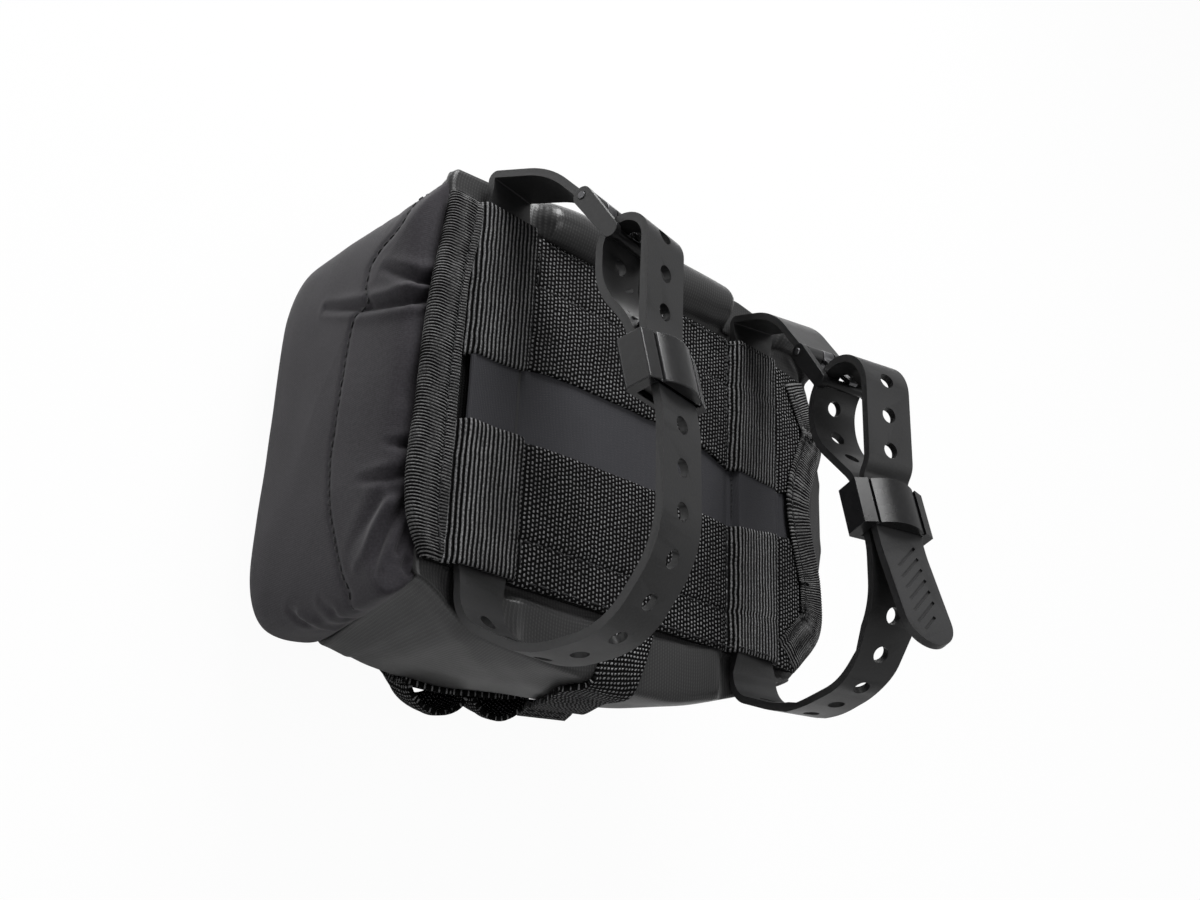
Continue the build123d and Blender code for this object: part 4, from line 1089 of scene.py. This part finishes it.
rows_sewn = []
for sign, line, inner in ((1, 32.7, 12.0), (-1, 36.3, 13.0)):
    rows_sewn.append(panel_line((-44.5, sign * line), (32.0, sign * line)))
    for x in (-46.2, 32.0, 54.2):
        rows_sewn.append(panel_line((x, sign * inner), (x + 0.3, sign * (45.5 if x < 50 else 43.0))))
    rows_sewn.append(panel_line((-44.8, sign * line), (-44.8, sign * 46.0)))
    rows_sewn.append(panel_line((-42.0, sign * 46.2), (50.0, sign * 46.2)))
threads("band_stitches", rows_sewn, 0.26, "bag", MAT["thread"], 2.6, 0.9, 0.12, 0.05)


# ---------------------------------------------------------------- webbing and loops on the -Y wall
WALL = BVHTree.FromPolygons([Vector(v) for v in shell_grid.reshape(-1, 3)],
                            grid_faces(*shell_grid.shape[:2], wrap=True))


TAPE, TAPE_COLUMNS = 14.0, 16    # width of the side webbing in mm, points across it


def on_wall(x, z, up):
    """The shell's face on the -Y side, found from a place inside it and a direction up degrees above level."""
    a = math.radians(up)
    out = Vector((0.0, -math.cos(a), math.sin(a)))
    hit, normal = WALL.ray_cast(Vector((x, -46.0, z)) + out * 110.0, -out)[:2]
    if hit is None:
        hit, normal = WALL.find_nearest(Vector((x, -60.0, z)))[:2]
    normal = Vector(normal)
    if normal.dot(out) < 0:
        normal.negate()
    return np.array(hit), np.array(normal)


def wall_tape(name, path, replaces, rows=130, level=0.0):
    """A webbing tape on the wall. The path lists x, z, degrees above level, lift off the wall, spread in x and z.

    Level is the least distance out, as a y, that the tape's lower part keeps.
    """
    path, n = np.asarray(path, float), TAPE_COLUMNS
    t = np.linspace(0, len(path) - 1, rows)
    knots = np.arange(len(path))
    x, z, up, lift, sx, sz = (hermite(t, knots, path[:, k]) for k in range(6))
    g, nr = np.zeros((rows, n, 3)), np.zeros((rows, n, 3))
    for j, s in enumerate(np.linspace(-0.5, 0.5, n)):
        for i in range(rows):
            g[i, j], nr[i, j] = on_wall(x[i] + sx[i] * TAPE * s, z[i] + sz[i] * TAPE * s, up[i])
    for _ in range(10):
        soften(nr, g)
        nr[:, 1:-1] = (nr[:, :-2] + nr[:, 1:-1] * 2 + nr[:, 2:]) / 4
    nr /= np.linalg.norm(nr, axis=2)[..., None]
    g = g + nr * (lift[:, None] + 0.15 * fuzz(g, 9.0, 3.0))[..., None]
    out = np.minimum(g[..., 1], level - 0.035 * (g[..., 2] + 66))
    g[..., 1] += (out - g[..., 1]) * smooth(-26.0, -52.0, g[..., 2])
    uv = np.stack(np.broadcast_arrays(run_length(g[:, n // 2])[:, None], np.linspace(0, TAPE, n)), -1) * MM
    ob = tape_mesh(name, g, uv, (1, -1), 1.5, MAT["side"], replaces)
    return ob, g, nr


SLANT = [(-4.5, -6.0, 84, 1.5, 1, 0), (-6.0, -6.0, 50, 1.7, 1.05, 0), (-8.5, -6.0, 27, 1.8, 1.08, 0.05),
         (-12.0, -6.0, 10, 2.0, 1.05, 0.1), (-12.5, -10.0, 0, 2.1, 1.0, 0.25), (-5.5, -24.0, 0, 2.2, 0.9, 0.45),
         (4.5, -38.0, 0, 2.4, 0.86, 0.52), (15.0, -52.0, 0, 2.6, 0.86, 0.52), (24.0, -65.0, 0, 2.6, 0.88, 0.48)]
slant_g, slant_n = wall_tape("side_webbing_tape", SLANT, ["side_webbing"], level=-59.8)[1:]
STRIP_ROWS, STRIP_Z, STRIP_START, STRIP_LENGTH = 120, -68.5, -29.5, 46.0
STRIP = [(x, STRIP_Z, 0, 1.7, 0, 1) for x in (STRIP_START, -18, -6.5, 5, 16.5)]
strip_tape, strip_g, strip_n = wall_tape("loop_strip_tape", STRIP, ["loop_strip"], rows=STRIP_ROWS)


def strip_row(x):
    """The loop strip's row of points at a place along the bag."""
    return int(np.clip((x - STRIP_START) / STRIP_LENGTH * (STRIP_ROWS - 1), 0, STRIP_ROWS - 1))


def build_loops():
    verts, faces, uvs, rows = [], [], [], []
    m, n = 40, 14
    for k in range(2):
        x0 = -28.5 + 23.0 * k
        base = len(verts)
        for i in range(m):
            a = i / (m - 1)
            x = x0 + 21.0 * (0.5 - 0.5 * math.cos(math.pi * a)) + 1.4 * math.sin(2 * math.pi * a)
            up = 6.4 * math.sin(math.pi * a) ** 0.75
            for j in range(n):
                z = STRIP_Z + TAPE * (j / (n - 1) - 0.5)
                at = strip_g[strip_row(x), int(round(j / (n - 1) * (TAPE_COLUMNS - 1)))]
                sag = 0.5 * math.sin(math.pi * a) * math.cos(3.0 * j / n + k)
                verts.append((x, at[1] - 0.35 - up - sag, z - 0.6 * math.sin(math.pi * a) * k))
                uvs.append((a * 0.027, z * MM))
        faces += [tuple(base + q for q in f) for f in grid_faces(m, n)]
        for x in (x0 + 0.8, x0 + 20.2):
            i = strip_row(x)
            rows.append((strip_g[i, 1:-1] + strip_n[i, 1:-1] * 0.3, strip_n[i, 1:-1]))
    ob = mesh_object("loop_tapes", verts, faces, uvs)
    turn_faces(ob, 1, -1)
    thicken(ob, 1.4)
    dress(ob, "bag", MAT["side"], ["loop_arches"])
    return rows


loop_rows = build_loops()
for i in (16, 20, 118, 124):
    loop_rows.append((slant_g[i, 1:-1] + slant_n[i, 1:-1] * 0.1, slant_n[i, 1:-1]))
threads("side_stitches", loop_rows, 0.26, "bag", MAT["thread"], 2.2, 0.7, 0.15, 0.08)

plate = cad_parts["stiffener_plate"].data.materials
plate.clear()
plate.append(MAT["plastic"])

# ---------------------------------------------------------------- rigid pieces
# strap holes in each strap's leaned plane: place across the bag, place away from the panel, degrees of the axis
HOLES = {
    "front": [(-60.34, 46.85, 126.8), (-66.61, 39.47, 153.8), (-68.9, 30.01, 173.0), (-68.64, 20.27, 11.2),
              (-65.29, 11.1, 25.5), (-60.2, 2.86, 49.2), (-42.68, 54.36, 92.0), (-52.15, 52.17, 114.1),
              (-32.88, 54.23, 88.8), (-23.09, 53.87, 84.1), (-3.96, 49.68, 77.4), (-13.49, 51.95, 76.5),
              (5.76, 48.7, 90.0), (15.56, 48.7, 90.0), (25.25, 48.12, 69.0), (21.16, 35.9, 90.0),
              (28.91, 40.29, 161.3)],
    "rear": [(-60.95, 6.36, 17.4), (-63.88, 15.71, 16.5), (-64.81, 35.1, 171.3), (-65.49, 25.35, 2.5),
             (-55.82, 51.63, 122.9), (-62.37, 44.52, 152.7), (-47.38, 56.55, 111.2), (-37.77, 57.95, 89.6),
             (-9.78, 50.59, 45.9), (-2.72, 43.8, 45.9), (5.18, 38.16, 68.3), (14.76, 37.13, 102.1),
             (22.14, 42.92, 154.2), (14.72, 58.08, 78.1), (22.12, 52.31, 26.0), (-4.85, 58.4, 90.0),
             (4.95, 58.4, 90.0)],
}
HOLE_R = 2.13
# grip marks near each strap's tip: count, pitch, length
GRIPS = {"front": (6, 2.6, 11.0), "rear": (7, 3.2, 10.2)}
GRIP_START = (-54.2, 70.6)       # the first one on the rear strap
TAIL_ALONG, TAIL_AWAY = 0.9348, 0.3552     # the rear tail's direction, as shares across the bag and away from it


def loop_axes(side):
    x, lean = LOOPS[side]
    a = math.radians(lean)
    return np.array([x, 0, STRAP_Z]), np.array([math.cos(a), 0, -math.sin(a)]), np.array([math.sin(a), 0, math.cos(a)])


def solid(verts, faces, centre, axes, sizes):
    """Adds a box with its axes and full sizes in mm."""
    base = len(verts)
    for i in (-0.5, 0.5):
        for j in (-0.5, 0.5):
            for k in (-0.5, 0.5):
                verts.append(centre + axes[0] * sizes[0] * i + axes[1] * sizes[1] * j + axes[2] * sizes[2] * k)
    for f in ((0, 1, 3, 2), (4, 6, 7, 5), (0, 4, 5, 1), (2, 3, 7, 6), (0, 2, 6, 4), (1, 5, 7, 3)):
        faces.append(tuple(base + q for q in f))


def hole_cutter(side, sides=28):
    middle, across, away = loop_axes(side)
    verts, faces = [], []
    for u, v, angle in HOLES[side]:
        c = middle + ALONG * u + away * v
        a = math.radians(angle)
        axis = ALONG * math.cos(a) + away * math.sin(a)
        other = np.cross(axis, across)
        base = len(verts)
        for end in (-2.6, 2.6):
            for k in range(sides):
                t = 2 * math.pi * k / sides
                verts.append(c + axis * end + (across * math.cos(t) + other * math.sin(t)) * HOLE_R)
        faces += [tuple(base + q for q in f) for f in grid_faces(2, sides, wrap=True)]
        faces += [tuple(base + k for k in reversed(range(sides))), tuple(base + sides + k for k in range(sides))]
    if side == "rear":
        (u, v), (count, pitch, length) = GRIP_START, GRIPS["rear"]
        back = ALONG * TAIL_ALONG - away * TAIL_AWAY
        up = ALONG * TAIL_AWAY + away * TAIL_ALONG
        slant = across * math.cos(math.radians(43)) + back * math.sin(math.radians(43))
        for k in range(count):
            c = middle + ALONG * u + away * v + back * (2.2 + pitch * k)
            run = length * (0.62 if k == 0 else 1.0)
            solid(verts, faces, c, (slant, np.cross(up, slant), up), (run, 0.75, 0.9))
    ob = mesh_object(side + "_cutter", verts, faces)
    recalc_normals(ob)
    return ob


def trim_tip():
    """Takes the last underside ridge back inside the rear strap's round tip."""
    middle, across, away = loop_axes("rear")
    toward = np.array([0, -TAIL_ALONG, 0]) + away * TAIL_AWAY
    end = middle + np.array([0, -58.0, 0]) + away * 71.0 - toward * STRAP_W / 2
    for v in bpy.data.objects["rear_strap_tpu"].data.vertices:
        d = np.array(v.co) / MM - end
        a, w = d @ toward, d @ across
        reach = math.hypot(a, w)
        proud = abs(d @ np.cross(across, toward)) > 1.02
        limit = STRAP_W / 2 - (0.6 if proud else 0.0)
        if -3 < a < 12 and reach > limit + 0.04:
            out = (toward * a + across * w) / reach
            v.co = (np.array(v.co) / MM - out * (reach - limit)) * MM


for side in ("front", "rear"):
    cutter = hole_cutter(side)
    bevelled(side + "_strap", side + "_strap_tpu", "bag", MAT["strap"], 0.34, 3, cutter=cutter,
             edge=MAT["strap_highlight"])
    bpy.data.objects.remove(cutter)
    bevelled(side + "_buckle_frame", side + "_buckle_moulding", "bag", MAT["plastic"], 0.4, 3)
    bevelled(side + "_buckle_pin", side + "_hinge_pin", "bag", MAT["steel"], 0.2)
    bevelled(side + "_buckle_tongue", side + "_tongue_bar", side + "_tongue", MAT["steel"], 0.2)
    bevelled(side + "_keeper", side + "_keeper_sleeve", side + "_sleeve", MAT["keeper"], 0.6, 4,
             edge=MAT["keeper_highlight"])


trim_tip()


def front_grips():
    """Raised ridges on the upper side of the front strap's tail, in the lighter strap material that paints a highlight
    on them.
    """
    middle, across, away = loop_axes("front")
    count, pitch, length = GRIPS["front"]
    verts, faces = [], []
    path = np.array([(20.0, 36.9), (13.6, 36.9), (10.2, 38.4), (1.6, 46.4), (-15.0, 50.3)])
    run = np.concatenate([[0], np.cumsum(np.hypot(*np.diff(path, axis=0).T))])
    for k in range(count):
        s = 5.5 + pitch * k
        p0, p1 = (np.array([np.interp(q, run, path[:, i]) for i in (0, 1)]) for q in (s - 0.4, s + 0.4))
        d = (p1 - p0) / np.linalg.norm(p1 - p0)
        toward = ALONG * d[0] + away * d[1]
        up = np.cross(across, toward)
        up = up if up @ away > 0 else -up
        c = middle + ALONG * (p0[0] + p1[0]) / 2 + away * (p0[1] + p1[1]) / 2
        slant = across * math.cos(math.radians(32)) - toward * math.sin(math.radians(32))
        solid(verts, faces, c, (slant, np.cross(up, slant), up), (length, 0.9, 0.8))
    ob = mesh_object("front_tail_ridges", verts, faces)
    recalc_normals(ob)
    b = ob.modifiers.new("bevel", "BEVEL")
    b.width, b.segments = 0.2 * MM, 2
    apply_modifiers(ob)
    dress(ob, "bag", MAT["strap_highlight"], ["front_strap"])


front_grips()
